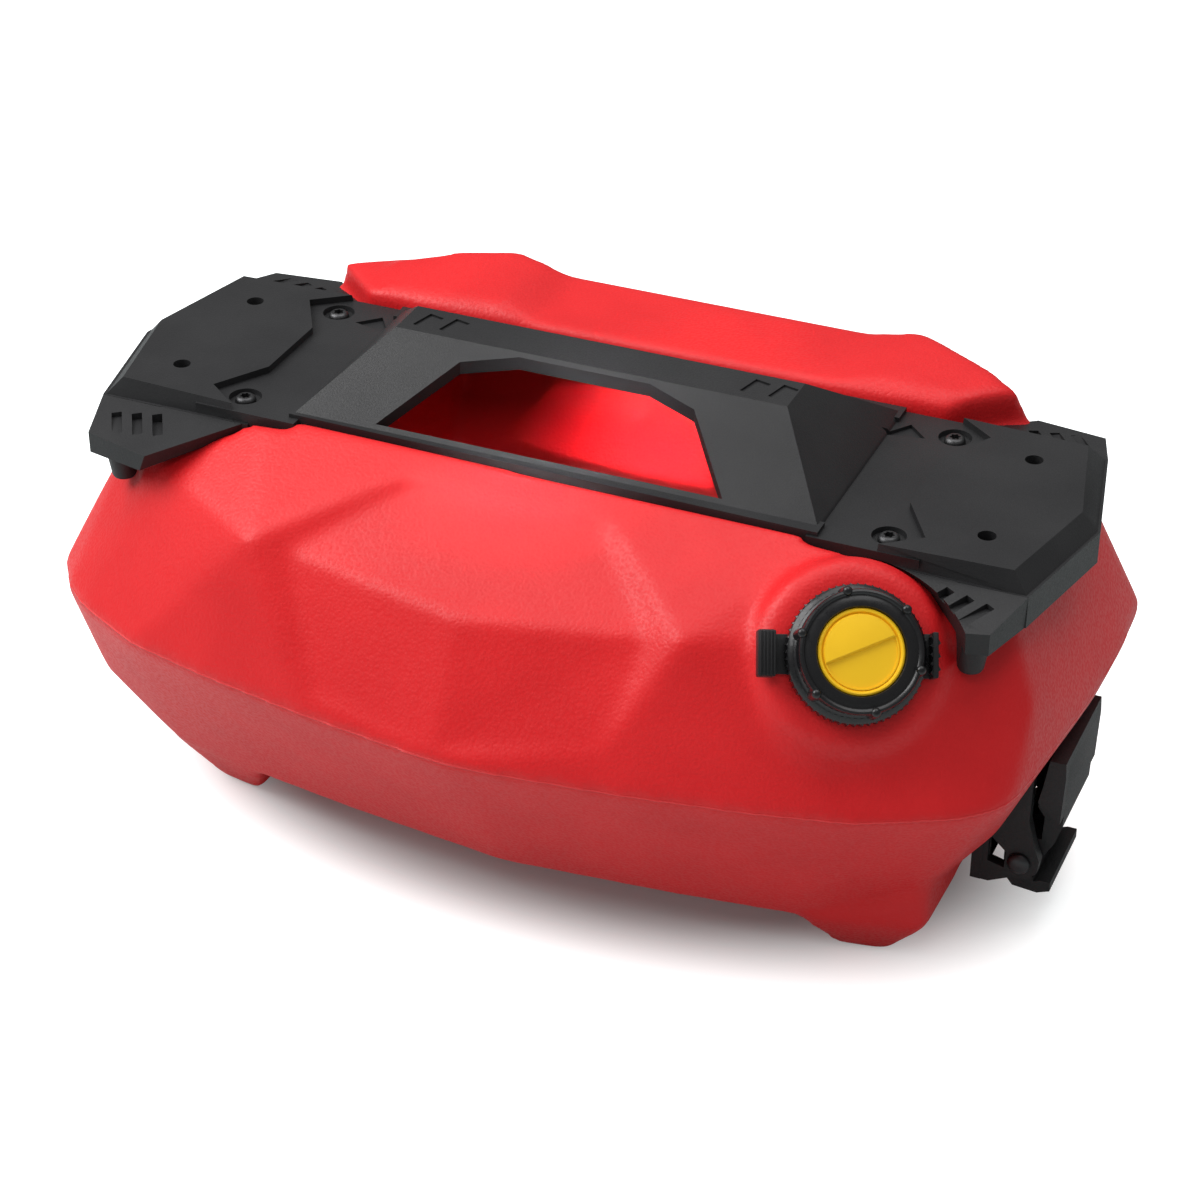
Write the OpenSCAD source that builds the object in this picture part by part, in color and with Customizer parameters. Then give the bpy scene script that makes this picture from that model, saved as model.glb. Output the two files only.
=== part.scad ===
// Fuel caddy: a hollow moulded tank under a bolted carrying deck, with a screw cap and end latches.
// Millimetres. X runs along the long side, Y away from the front, Z up from the ground.

/* [Tank] */
// length of the tank at its belt
tank_len = 490; // [440:5:540]
// width of the tank at its belt
tank_wid = 332; // [300:2:360]
// height of the belt, where the tank is widest
belt_z = 120; // [112:1:128]
// height of the belly over the ground
belly_z = 28; // [24:1:32]
// height of the tank's top rim
rim_z = 216; // [208:1:224]
// wall thickness of the tank
wall = 4; // [3:0.5:5]
// rounding of the outside edges, more than the wall
edge_r = 8; // [7:0.5:11]
// half length of the hand trough at its mouth
trough_half = 95; // [85:1:105]
// height of the trough's floor
trough_z = 150; // [140:1:160]
// radius of a foot's sole
sole_r = 12; // [10:0.5:15]
// radius of a foot where it meets the belly
foot_r = 30; // [26:0.5:33]

/* [Deck] */
// height of the pads over the deck's seat
pad_h = 14; // [12:0.5:17]
// height of the handle's grip over the tank's rim
grip_h = 26.7; // [22:0.1:32]
// spacing of the stacking bolts along X
bolt_dx = 400; // [390:1:404]
// spacing of the stacking bolts along Y
bolt_dy = 72; // [64:1:76]
// radius of a stacking bolt's hole
bolt_r = 4.2; // [3.6:0.1:4.6]
// spacing of the deck screws along X
screw_dx = 318.8; // [312:0.1:324]
// spacing of the deck screws along Y
screw_dy = 94.6; // [88:0.1:98]
// depth of the deck's seat under the tank's rim
seat_drop = 16; // [14:0.5:18]
// length of a grip groove in a corner ledge
groove_len = 18; // [12:1:20]
// spacing of the grip grooves
groove_gap = 9.6; // [8:0.2:11]
// thickness of the handle's shell
shell = 4; // [3:0.5:4.5]

/* [Cap] */
// distance of the neck's root from the tank's end
neck_end = 84.7; // [79:0.1:89]
// distance of the neck's root behind the front shoulder
neck_front = 23.2; // [20:0.1:26]
// height of the neck's root
neck_z = 177; // [174:0.5:180]
// lean of the neck from upright, in degrees
neck_tilt = 52.3; // [48:0.1:56]
// turn of the neck towards the front, in degrees
neck_turn = -62; // [-66:0.5:-58]
// outside radius of the neck
neck_r = 20; // [18:0.1:20.5]
// height of the boss that carries the neck
boss_h = 10; // [8:0.5:12]
// outside radius of the collar
collar_r = 26; // [24:0.5:28]
// radius of the stopper's visible disc
disc_r = 18.4; // [16.5:0.1:18.6]
// number of ratchet teeth round the collar
tooth_count = 60; // [40:1:72]
// depth of a ratchet tooth
tooth_h = 0.8; // [0.5:0.1:1.2]
// step between the stopper's two halves
half_step = 1.4; // [0.8:0.1:2]
// room round the collar for a hand
cap_room = 16; // [12:0.5:18]
// travel of the lock ring
lock_travel = 2.5; // [1.5:0.1:3]
// width of the thumb tab and the pawl
tab_wid = 20; // [16:0.5:24]
// reach of the thumb tab past the ratchet
tab_out = 11; // [9:0.5:12]
// thickness of the thumb tab
tab_t = 7; // [6:0.5:9]
// height of the thumb tab
tab_h = 9; // [7:0.5:10]
// reach of the pawl past the ratchet
pawl_out = 6; // [5:0.5:7]
// height of the pawl
pawl_h = 11; // [9:0.5:12]

/* [Latches] */
// width of the lever
lever_wid = 46; // [40:1:50]
// room beside the lever in its pocket
pocket_side = 11; // [10:0.5:13]
// height of the lever's pivot
pivot_z = 40; // [38:0.5:42]
// distance of the pivot from the tank's end
pivot_in = 19; // [17:0.5:20]
// depth of the latch pocket's roof under the belt
pocket_drop = 18; // [16:0.5:22]
// depth of the latch screws under the pocket's roof
latch_screw_drop = 20; // [16:0.5:22]
// radius of the pivot pin
pin_r = 3; // [2.5:0.1:3.4]

/* [Clearances] */
// gap between parts that are bolted together
seat_gap = 0.2; // [0.1:0.05:0.4]
// gap between parts that move past each other
move_gap = 0.4; // [0.3:0.05:0.6]
// radial gap of a running shaft
run_gap = 0.06; // [0.02:0.01:0.09]

/* [Hidden] */
half_l = tank_len / 2;
half_w = tank_wid / 2;
core_l = half_l - edge_r;
core_w = half_w - edge_r;
shoulder_y = 0.756;
seat_z = rim_z - seat_drop;
nest_z = seat_z + 5;
pad_z = seat_z + pad_h;
grip_z = rim_z + grip_h;
plate_x = 0.52 * half_l;
deck_y = 0.374 * half_w;
hull_fn = 24;
trough_r = 20;
trough_front = deck_y - 5;
trough_back = deck_y - 12;
foot_x = 0.684 * half_l;
foot_y = 0.343 * half_w;
foot_rise = 24;
post_x = 0.853 * half_l;
post_y = 0.482 * half_w;
post_z = seat_z - 20;
post_r = 7;
rim_foot_z = seat_z - 10;
rim_x = 0.776 * half_l;
screw_r = 2.45;
screw_head_r = 5;
screw_recess_z = pad_z - 6;
insert_r = 4.5;
insert_len = 15;
nut_flat = 13;
nut_h = 6.5;
neck_x = half_l - neck_end;
neck_y = shoulder_y * core_w - neck_front;
neck_top = boss_h + 15.4;
neck_bore = neck_r - 4.5;
boss_r = 2 * neck_r - 6;
boss_slope = 0.65;
boss_sink = 14;
lock_z = boss_h + move_gap;
lock_t = 2.8;
ratchet_r = collar_r + 3.6;
collar_z = lock_z + lock_t + move_gap;
collar_bore = neck_r + 0.5;
flange_z = neck_top + 1.2;
lip_z = flange_z + 2.8;
collar_top = lip_z + 3.6;
pocket_x = half_l - 42;
pocket_y = lever_wid / 2 + pocket_side;
pocket_z = belt_z - pocket_drop;
pivot_x = half_l - pivot_in;
hub_r = 9.5;
frame_y = lever_wid / 2 + 1;
cheek_t = 6;
plate_t = 5;
frame_foot = 15;
latch_screw_y = 16;
latch_screw_z = pocket_z - latch_screw_drop;

// Rounding centres of the tank, as parts of its half length and half width: those of every corner.
all_corners = [
    [1, 0, belt_z],
    [0.985, 0.25, belt_z],
    [0.972, 0.47, belt_z],
    [0.943, 0.63, belt_z],
    [0.895, 0.694, belt_z],
    [0.727, 0.819, belt_z],
    [0.547, 0.88, belt_z],
    [0, 1, belt_z],
    [0.96, 0.4, rim_z - 69.5],
    [0.92, 0.35, rim_z - 49],
    [0.884, 0.3, rim_z - 30],
    [0.89, 0.332, belly_z + 47],
    [0.846, 0.491, belly_z + 47],
    [0.83, 0.172, belly_z + 17],
    [0.789, 0.165, belly_z + edge_r],
    [0.738, 0.43, belly_z + edge_r],
    [0.559, 0.563, belly_z + edge_r],
    [0, 0.663, belly_z + edge_r]];
// The upper corners in front, at both ends.
front_corners = [
    [0.757, 0.511, rim_z - 35],
    [0.582, 0.373, rim_z - 16]];
// The sloped shoulders in front, left and right of the sunk panels.
front_shoulder = [
    [-0.486, shoulder_y, rim_z - 36.3],
    [-0.036, 0.808, rim_z - 46.8],
    [0.386, shoulder_y, rim_z - 36.3]];
// The flat shoulder behind, at both ends.
back_shoulder = [
    [0, 0.7, rim_z - edge_r],
    [0.24, 0.7, rim_z - edge_r],
    [0.477, 0.68, rim_z - edge_r],
    [0.62, 0.6, rim_z - edge_r],
    [0.77, 0.465, rim_z - edge_r],
    [0.884, 0.4, rim_z - edge_r - 19]];
// The raised lump on the back shoulder.
back_lump = [
    [-0.64, 0.5, rim_z - 1],
    [-0.54, 0.64, rim_z + 1.5],
    [-0.425, 0.725, rim_z + 1],
    [-0.36, 0.7, rim_z],
    [-0.36, 0.48, rim_z - 1],
    [-0.6, 0.48, rim_z - 2]];
// Corners of the sunk panels: two at the head, then right, down and round to the left, and the crease.
panel_corners = [
    [-0.243, 0.462, rim_z - 14.8],
    [0.145, 0.462, rim_z - 14.8],
    [0.321, 0.763, rim_z - 35.8],
    [0.281, 0.955, belt_z + 15.6],
    [-0.034, 1.038, belt_z + 3],
    [-0.303, 0.972, belt_z + 8],
    [-0.422, 0.756, rim_z - 35.3],
    [-0.036, 0.842, rim_z - 41.2]];
// Way out of the tank from each of those corners.
panel_lifts = [
    [0, -6.4, 14.7],
    [0, -6.4, 14.7],
    [42, -10.2, 13.3],
    [0, -14.4, 6.9],
    [0, -14.4, 6.9],
    [0, -14.4, 6.9],
    [-42, -13.5, 12],
    [0, -20.8, 21.6]];
// Triangles between those corners, seen from the front.
panel_faces = [[0, 1, 7], [1, 2, 7], [0, 7, 6], [7, 2, 3], [7, 3, 4], [7, 4, 5], [6, 7, 5]];

// Puts children at both ends.
module ends() {
    children();
    mirror([1, 0, 0]) children();
}

// Puts children at all four corners.
module corners() {
    ends() {
        children();
        mirror([0, 1, 0]) children();
    }
}

// Moves children onto the neck, with Z along its axis.
module at_neck() {
    translate([neck_x, -neck_y, neck_z])
        rotate([0, neck_tilt, neck_turn])
            children();
}

// Turns a profile drawn in X and Z into a slab between two places along Y.
module slab(y0, y1) {
    translate([0, y1, 0])
        rotate([90, 0, 0])
            linear_extrude(height = y1 - y0)
                children();
}

// Puts a rounding sphere on one side of the tank.
module rounding(p, side, r) {
    translate([p[0] * core_l, side * p[1] * core_w, p[2]])
        sphere(r = r, $fn = hull_fn);
}

// The faceted body, rounded by spheres of one radius.
module body(r) {
    hull() {
        ends() {
            for (p = concat(all_corners, front_corners))
                rounding(p, -1, r);
            for (p = concat(all_corners, back_shoulder))
                rounding(p, 1, r);
        }
        for (p = front_shoulder)
            rounding(p, -1, r);
    }
}

// The lump that stands on the back shoulder.
module lump() {
    hull() {
        for (p = back_lump)
            rounding(p, 1, edge_r - 2);
    }
}

// Cuts the sunk panels into the front, deeper and wider by the amount given.
module sunk_panels(grow) {
    sides = [-1, 1, 1, 1, 0, -1, -1, 0];
    inner = [for (k = [0:7])
        let (p = panel_corners[k])
            [p[0] * core_l, -p[1] * core_w, p[2]] + grow * [sides[k], 0.9, -0.9]];
    outer = [for (k = [0:7]) inner[k] + panel_lifts[k]];
    walls = [for (i = [0:6])
        let (j = (i + 1) % 7)
            each i == 2 || i == 6
                ? [[j + 8, i + 8, j], [i + 8, i, j]]
                : [[j + 8, i + 8, i], [j + 8, i, j]]];
    floor = [for (f = panel_faces) [f[2], f[1], f[0]]];
    lid = [for (f = panel_faces) [f[0] + 8, f[1] + 8, f[2] + 8]];
    polyhedron(points = concat(inner, outer), faces = concat(floor, lid, walls));
}

// The hand trough, grown on every side.
module trough(grow) {
    hull() {
        for (sx = [-1, 1]) {
            for (y = [trough_r - trough_front, trough_back - trough_r])
                translate([sx * (trough_half - trough_r), y, rim_z + 14])
                    sphere(r = trough_r + grow, $fn = hull_fn);
            for (y = [trough_r - trough_front + 12, trough_back - trough_r - 12])
                translate([sx * (trough_half - 2 * trough_r), y, trough_z + trough_r])
                    sphere(r = trough_r + grow, $fn = hull_fn);
        }
    }
}

// Room over the tank for the deck.
module deck_room(grow) {
    ends() {
        translate([0, 0, seat_z - grow])
            linear_extrude(height = rim_z)
                plate_plan(1.5 + grow);
        translate([0, 0, rim_foot_z - 1 - grow])
            linear_extrude(height = rim_z)
                difference() {
                    plate_plan(1.5 + grow);
                    translate([0, -half_w])
                        square([rim_x - 2 - grow, tank_wid]);
                }
    }
    translate([-plate_x - 4 - grow, -deck_y - 1 - grow, nest_z - grow])
        cube([2 * (plate_x + 4 + grow), 2 * (deck_y + 1 + grow), rim_z]);
}

// The room for one latch in the tank's end.
module latch_room(grow) {
    translate([pocket_x - grow, -pocket_y - grow, -1])
        cube([half_l, 2 * (pocket_y + grow), pocket_z + grow + 1]);
}

// The boss and tube of the neck.
module neck_outside() {
    difference() {
        at_neck() {
            translate([0, 0, -boss_sink])
                cylinder(h = boss_sink + boss_h, r1 = boss_r + boss_slope * (boss_sink + boss_h),
                    r2 = boss_r, $fn = 96);
            cylinder(h = neck_top, r = neck_r, $fn = 96);
        }
        translate([plate_x - 4, -deck_y - 1.5, seat_z])
            cube([half_l, 2 * deck_y, rim_z]);
    }
}

// The open way through the neck.
module neck_inside() {
    at_neck() {
        translate([0, 0, -2 * boss_sink])
            cylinder(h = 2 * boss_sink + boss_h - wall, r2 = boss_r - 3,
                r1 = boss_r - 3 + boss_slope * (2 * boss_sink + boss_h - wall), $fn = 96);
        cylinder(h = neck_top + 1, r = neck_bore, $fn = 96);
    }
}

// Solid bosses for the inserts and wells for the bolts' ends, inside the cavity.
module cavity_bosses() {
    corners() {
        translate([screw_dx / 2, screw_dy / 2, seat_z - insert_len - 6])
            cylinder(h = insert_len + 6, r = insert_r + 4.5, $fn = 48);
        translate([bolt_dx / 2, bolt_dy / 2, seat_z - 18])
            cylinder(h = 24, r = bolt_r + 6, $fn = 48);
    }
    ends()
        for (sy = [-1, 1])
            translate([pocket_x - insert_len - 3, sy * latch_screw_y, latch_screw_z])
                rotate([0, 90, 0])
                    cylinder(h = insert_len + 3, r = insert_r + 3, $fn = 48);
}

// The space that holds the fuel.
module cavity() {
    difference() {
        union() {
            body(edge_r - wall);
            corners() moulded_foot(wall);
            difference() {
                neck_inside();
                translate([plate_x - 8, -deck_y - 1.5 - wall, seat_z - wall])
                    cube([half_l, 2 * deck_y, rim_z]);
            }
        }
        trough(wall);
        deck_room_inside();
        ends() latch_room(wall);
        sunk_panels(wall);
        cavity_bosses();
    }
}

// The deck's room grown by the wall, kept clear of the neck.
module deck_room_inside() {
    difference() {
        deck_room(wall);
        neck_inside();
    }
}

// The moulded tank with its feet, neck and trough.
module tank() {
    color([0.66, 0.03, 0.03])
        difference() {
            union() {
                difference() {
                    union() {
                        body(edge_r);
                        lump();
                    }
                    deck_room(0);
                    sunk_panels(0);
                }
                neck_outside();
                corners() moulded_foot(0);
            }
            cavity();
            trough(0);
            ends() latch_room(0);
            corners() {
                translate([screw_dx / 2, screw_dy / 2, seat_z - insert_len - 2])
                    cylinder(h = insert_len + 4, r = insert_r + 0.05, $fn = 48);
                translate([bolt_dx / 2, bolt_dy / 2, seat_z - 14])
                    cylinder(h = 30, r = bolt_r + 2, $fn = 48);
                translate([post_x, post_y, post_z]) {
                    sphere(r = post_r + move_gap, $fn = 48);
                    cylinder(h = 2 * seat_drop, r = post_r + move_gap, $fn = 48);
                }
            }
            ends()
                for (sy = [-1, 1])
                    translate([pocket_x - insert_len, sy * latch_screw_y, latch_screw_z])
                        rotate([0, 90, 0])
                            cylinder(h = insert_len + 1, r = insert_r - 0.85, $fn = 48);
        }
}

// One moulded foot that runs up into the tank's end, moved in from its outside by the amount given.
module moulded_foot(inset) {
    root_h = belly_z + 2 - inset;
    translate([foot_x, foot_y, inset]) {
        cylinder(h = root_h, r1 = sole_r - inset / 2, r2 = foot_r - inset, $fn = 64);
        translate([0, 0, root_h])
            cylinder(h = foot_rise, r1 = foot_r - inset, r2 = foot_r + 1 - inset, $fn = 64);
    }
}

// The plan of one end plate with its corner ledges, grown on every side.
module plate_plan(grow) {
    polygon([[plate_x - grow, -deck_y - grow], [0.616 * half_l, -deck_y - grow],
        [0.763 * half_l - grow, -0.584 * half_w - grow], [0.896 * half_l + grow, -0.536 * half_w - grow],
        [0.933 * half_l + grow, -0.373 * half_w], [0.959 * half_l + grow, -0.277 * half_w],
        [0.984 * half_l + grow, 0],
        [0.959 * half_l + grow, 0.277 * half_w], [0.933 * half_l + grow, 0.373 * half_w],
        [0.896 * half_l + grow, 0.536 * half_w + grow], [0.763 * half_l - grow, 0.584 * half_w + grow],
        [0.616 * half_l, deck_y + grow], [plate_x - grow, deck_y + grow]]);
}

// The plan of the raised pad that carries the stacking bolts.
module pad_plan() {
    polygon([[0.684 * half_l, -deck_y + 3], [0.902 * half_l, -deck_y + 3],
        [0.927 * half_l, -0.27 * half_w], [0.951 * half_l, 0], [0.927 * half_l, 0.27 * half_w],
        [0.902 * half_l, deck_y - 3], [0.684 * half_l, deck_y - 3],
        [0.72 * half_l, 0.295 * half_w], [0.65 * half_l, 0.133 * half_w],
        [0.65 * half_l, -0.133 * half_w], [0.72 * half_l, -0.295 * half_w]]);
}

// One end of the deck: plate, rim, screw shelf, pad and posts.
module deck_end() {
    translate([0, 0, seat_z + seat_gap])
        linear_extrude(height = 4)
            plate_plan(0);
    translate([0, 0, rim_foot_z])
        linear_extrude(height = seat_z - rim_foot_z + 2)
            difference() {
                plate_plan(0);
                plate_plan(-4);
                translate([0, -half_w])
                    square([rim_x, tank_wid]);
            }
    translate([plate_x, -deck_y, seat_z + seat_gap])
        cube([0.18 * half_l, 2 * deck_y, pad_h - 3 - seat_gap]);
    translate([0, 0, seat_z + 3])
        linear_extrude(height = pad_h - 3)
            pad_plan();
    for (sy = [-1, 1])
        translate([post_x, sy * post_y, post_z]) {
            sphere(r = post_r, $fn = 48);
            cylinder(h = seat_z - post_z + 2, r = post_r, $fn = 48);
        }
    for (sy = [-1, 1])
        translate([bolt_dx / 2, sy * bolt_dy / 2, seat_z + seat_gap])
            cylinder(h = pad_h - 3, r = nut_flat / 2 + 5, $fn = 48);
}

// The handle's hump, with its rounding given.
module hump(r, foot) {
    top_z = grip_z - shell - 1;
    hull() {
        for (sx = [-1, 1]) {
            for (y = [-6, 8])
                translate([sx * (plate_x - 34), y, top_z])
                    sphere(r = r, $fn = 16);
            for (sy = [-1, 1])
                for (z = [foot, rim_z - 3.5])
                    translate([sx * (plate_x - 1.4), sy * (deck_y - 5), z])
                        sphere(r = r, $fn = 16);
        }
    }
}

// The finger opening in the handle's front slope.
module finger_plan() {
    polygon([[-trough_half + 9, -trough_front], [trough_half - 9, -trough_front],
        [0.239 * half_l, -0.133 * half_w], [0.143 * half_l, -0.096 * half_w],
        [-0.143 * half_l, -0.096 * half_w], [-0.239 * half_l, -0.133 * half_w]]);
}

// The carrying deck: two end plates and the handle between them.
module deck() {
    color([0.06, 0.06, 0.065])
        difference() {
            union() {
                ends() deck_end();
                difference() {
                    union() {
                        hump(shell + 1, nest_z + 6);
                        translate([-plate_x - 3, -deck_y, nest_z + seat_gap])
                            cube([2 * plate_x + 6, 2 * deck_y, 8]);
                    }
                    hump(1, seat_z - 6);
                    translate([-half_l, -half_w, trough_z])
                        cube([tank_len, tank_wid, nest_z + seat_gap - trough_z]);
                }
            }
            translate([0, 0, seat_z])
                linear_extrude(height = 60)
                    finger_plan();
            neck_clearance();
            corners() {
                translate([screw_dx / 2, screw_dy / 2, seat_z - 1])
                    cylinder(h = 30, r = screw_r + 0.35, $fn = 48);
                translate([screw_dx / 2, screw_dy / 2, screw_recess_z])
                    cylinder(h = 30, r = screw_head_r + 2.5, $fn = 48);
                translate([bolt_dx / 2, bolt_dy / 2, seat_z - 1])
                    cylinder(h = 30, r = bolt_r, $fn = 48);
                translate([bolt_dx / 2, bolt_dy / 2, seat_z - 1])
                    cylinder(h = nut_h + 1.2 + seat_gap, d = (nut_flat + 0.2) / cos(30), $fn = 6);
                ledge_grooves();
            }
        }
}

// The slanted grip grooves in one corner ledge.
module ledge_grooves() {
    for (k = [0:2])
        translate([post_x + 1 - groove_gap * k, post_y + 2 - 2.5 * k, seat_z + seat_gap + 4])
            rotate([0, 0, 31])
                cube([2, groove_len, 2], center = true);
}

// Room for the cap and its boss beside the deck.
module neck_clearance() {
    intersection() {
        at_neck()
            translate([0, 0, -2 * boss_sink]) {
                cylinder(h = 2 * boss_sink + boss_h, $fn = 96, r2 = boss_r + 2,
                    r1 = boss_r + 2 + boss_slope * (2 * boss_sink + boss_h));
                cylinder(h = rim_z, r = collar_r + cap_room, $fn = 96);
            }
        translate([0, -tank_wid, 0])
            cube([tank_len, tank_wid - deck_y - 0.5, 2 * rim_z]);
    }
}

// Screws that hold the deck down.
module deck_screws() {
    color([0.16, 0.16, 0.17])
        corners()
            translate([screw_dx / 2, screw_dy / 2, screw_recess_z + 0.1]) {
                cylinder(h = 3.6, r = screw_head_r, $fn = 48);
                translate([0, 0, -screw_recess_z + seat_z - 10])
                    cylinder(h = screw_recess_z - seat_z + 11, r = screw_r, $fn = 32);
            }
}

// Threaded inserts in the tank for the deck screws.
module deck_inserts() {
    color([0.72, 0.55, 0.25])
        corners()
            translate([screw_dx / 2, screw_dy / 2, seat_z - insert_len])
                difference() {
                    cylinder(h = insert_len - 0.2, r = insert_r, $fn = 48);
                    translate([0, 0, -1])
                        cylinder(h = insert_len + 2, r = screw_r + 0.05, $fn = 32);
                }
}

// Captive nuts under the deck for the stacking bolts.
module anchor_nuts() {
    color([0.5, 0.5, 0.52])
        corners()
            translate([bolt_dx / 2, bolt_dy / 2, seat_z + seat_gap])
                difference() {
                    cylinder(h = nut_h, d = nut_flat / cos(30), $fn = 6);
                    translate([0, 0, -1])
                        cylinder(h = nut_h + 2, r = bolt_r - 0.8, $fn = 48);
                }
}

// A ring of ratchet teeth, given the radius of their tips.
module teeth_plan(r) {
    polygon([for (i = [0:2 * tooth_count - 1])
        let (a = 180 * i / tooth_count, at = r - tooth_h * (i % 2))
            [at * cos(a), at * sin(a)]]);
}

// The screw collar with its ratchet skirt and grip nubs.
module collar() {
    color([0.03, 0.03, 0.035])
        at_neck()
            difference() {
                union() {
                    translate([0, 0, collar_z])
                        cylinder(h = collar_top - collar_z, r = collar_r, $fn = 96);
                    translate([0, 0, collar_z])
                        linear_extrude(height = 6)
                            teeth_plan(ratchet_r);
                    for (a = [6:60:306])
                        rotate([0, 0, a])
                            translate([collar_r - 0.4, 0, collar_z + 5])
                                cylinder(h = collar_top - collar_z - 7, r = 1.9, $fn = 24);
                }
                translate([0, 0, collar_z - 1])
                    cylinder(h = lip_z - collar_z + 1, r = collar_bore, $fn = 96);
                translate([0, 0, collar_z])
                    cylinder(h = 60, r = disc_r + move_gap, $fn = 96);
            }
}

// The stopper disc under the collar, with its flange and plug.
module stopper() {
    color([0.93, 0.72, 0.02])
        at_neck() {
            translate([0, 0, flange_z + 1])
                cylinder(h = collar_top - flange_z - 1.8 - half_step, r = disc_r, $fn = 96);
            intersection() {
                translate([0, 0, flange_z + 1])
                    cylinder(h = collar_top - flange_z - 1.8, r = disc_r - 1.6, $fn = 96);
                rotate([0, 0, 19])
                    translate([-2 * disc_r, -disc_r, flange_z])
                        cube([2 * disc_r, 2 * disc_r, collar_top]);
            }
            translate([0, 0, flange_z])
                cylinder(h = lip_z - flange_z - move_gap, r = collar_bore - move_gap, $fn = 96);
            translate([0, 0, neck_top - 5])
                difference() {
                    cylinder(h = flange_z - neck_top + 5.5, r = neck_bore - 0.5, $fn = 96);
                    translate([0, 0, -1])
                        cylinder(h = flange_z - neck_top + 6, r = neck_bore - 2.8, $fn = 96);
                }
        }
}

// The sealing ring between the stopper and the neck's rim.
module gasket() {
    color([0.1, 0.1, 0.1])
        at_neck()
            translate([0, 0, neck_top + 0.05])
                difference() {
                    cylinder(h = flange_z - neck_top - 0.1, r = neck_r - 0.2, $fn = 96);
                    translate([0, 0, -1])
                        cylinder(h = 4, r = neck_bore + 0.2, $fn = 96);
                }
}

// The sliding lock ring with its thumb tab and pawl.
module lock_ring() {
    color([0.07, 0.07, 0.075])
        at_neck()
            difference() {
                union() {
                    translate([0, 0, lock_z])
                        cylinder(h = lock_t, r = ratchet_r - 0.6, $fn = 96);
                    translate([-tab_wid / 2, -ratchet_r - tab_out, lock_z]) {
                        cube([tab_wid, tab_out + 4, lock_t]);
                        cube([tab_wid, tab_t, tab_h]);
                    }
                    translate([-tab_wid / 2, ratchet_r - 4, lock_z])
                        cube([tab_wid, pawl_out + 4, lock_t]);
                    translate([-tab_wid / 2, ratchet_r - 2, lock_z])
                        cube([tab_wid, pawl_out + 2, pawl_h]);
                }
                for (k = [0:3])
                    translate([-tab_wid, 1.1 - ratchet_r - tab_out + 1.5 * k, lock_z + tab_h - 0.8])
                        cube([2 * tab_wid, 0.8, 2]);
                translate([0, 0, lock_z + lock_t])
                    linear_extrude(height = 20)
                        teeth_plan(ratchet_r + 2 * tooth_h);
                translate([0, 0, lock_z - 1])
                    cylinder(h = lock_t + 2, r = neck_r + move_gap, $fn = 96);
                translate([0, -lock_travel - 1, lock_z - 1])
                    cylinder(h = lock_t + 2, r = neck_r + move_gap, $fn = 96);
                translate([-neck_r - move_gap, -lock_travel - 1, lock_z - 1])
                    cube([2 * (neck_r + move_gap), lock_travel + 1, lock_t + 2]);
            }
}

// The leaf spring that pushes the lock ring home.
module lock_spring() {
    color([0.6, 0.6, 0.62])
        at_neck()
            translate([0, 0, lock_z + 0.3])
                intersection() {
                    difference() {
                        cylinder(h = lock_t - 0.6, r = neck_r + 1.3, $fn = 96);
                        translate([0, 0, -1])
                            cylinder(h = lock_t + 2, r = neck_r + 0.7, $fn = 96);
                    }
                    translate([-9, -2 * neck_r, -1])
                        cube([18, 2 * neck_r, lock_t + 2]);
                }
}

// The fixed frame of one latch.
module latch_frame() {
    color([0.06, 0.06, 0.065])
        difference() {
            union() {
                translate([pocket_x + seat_gap, -frame_y - cheek_t, pivot_z - frame_foot])
                    cube([plate_t, 2 * (frame_y + cheek_t), pocket_z - pivot_z + frame_foot - 3]);
                for (sy = [-1, 1])
                    translate([0, sy * (frame_y + cheek_t / 2), 0])
                        slab(-cheek_t / 2, cheek_t / 2) {
                            polygon([[pocket_x + 1, pivot_z - frame_foot], [pocket_x + 9, pivot_z - frame_foot],
                                [pivot_x, pivot_z - hub_r], [pivot_x + 4, pivot_z + hub_r - 1],
                                [pocket_x + 1, pivot_z + 24]]);
                            translate([pivot_x, pivot_z])
                                circle(r = hub_r, $fn = 64);
                        }
            }
            translate([pivot_x, 0, pivot_z])
                rotate([90, 0, 0])
                    cylinder(h = 4 * frame_y, r = pin_r + 0.05, center = true, $fn = 48);
            for (sy = [-1, 1])
                translate([pocket_x - 1, sy * latch_screw_y, latch_screw_z])
                    rotate([0, 90, 0])
                        cylinder(h = plate_t + 4, r = 2.4, $fn = 32);
        }
}

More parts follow.
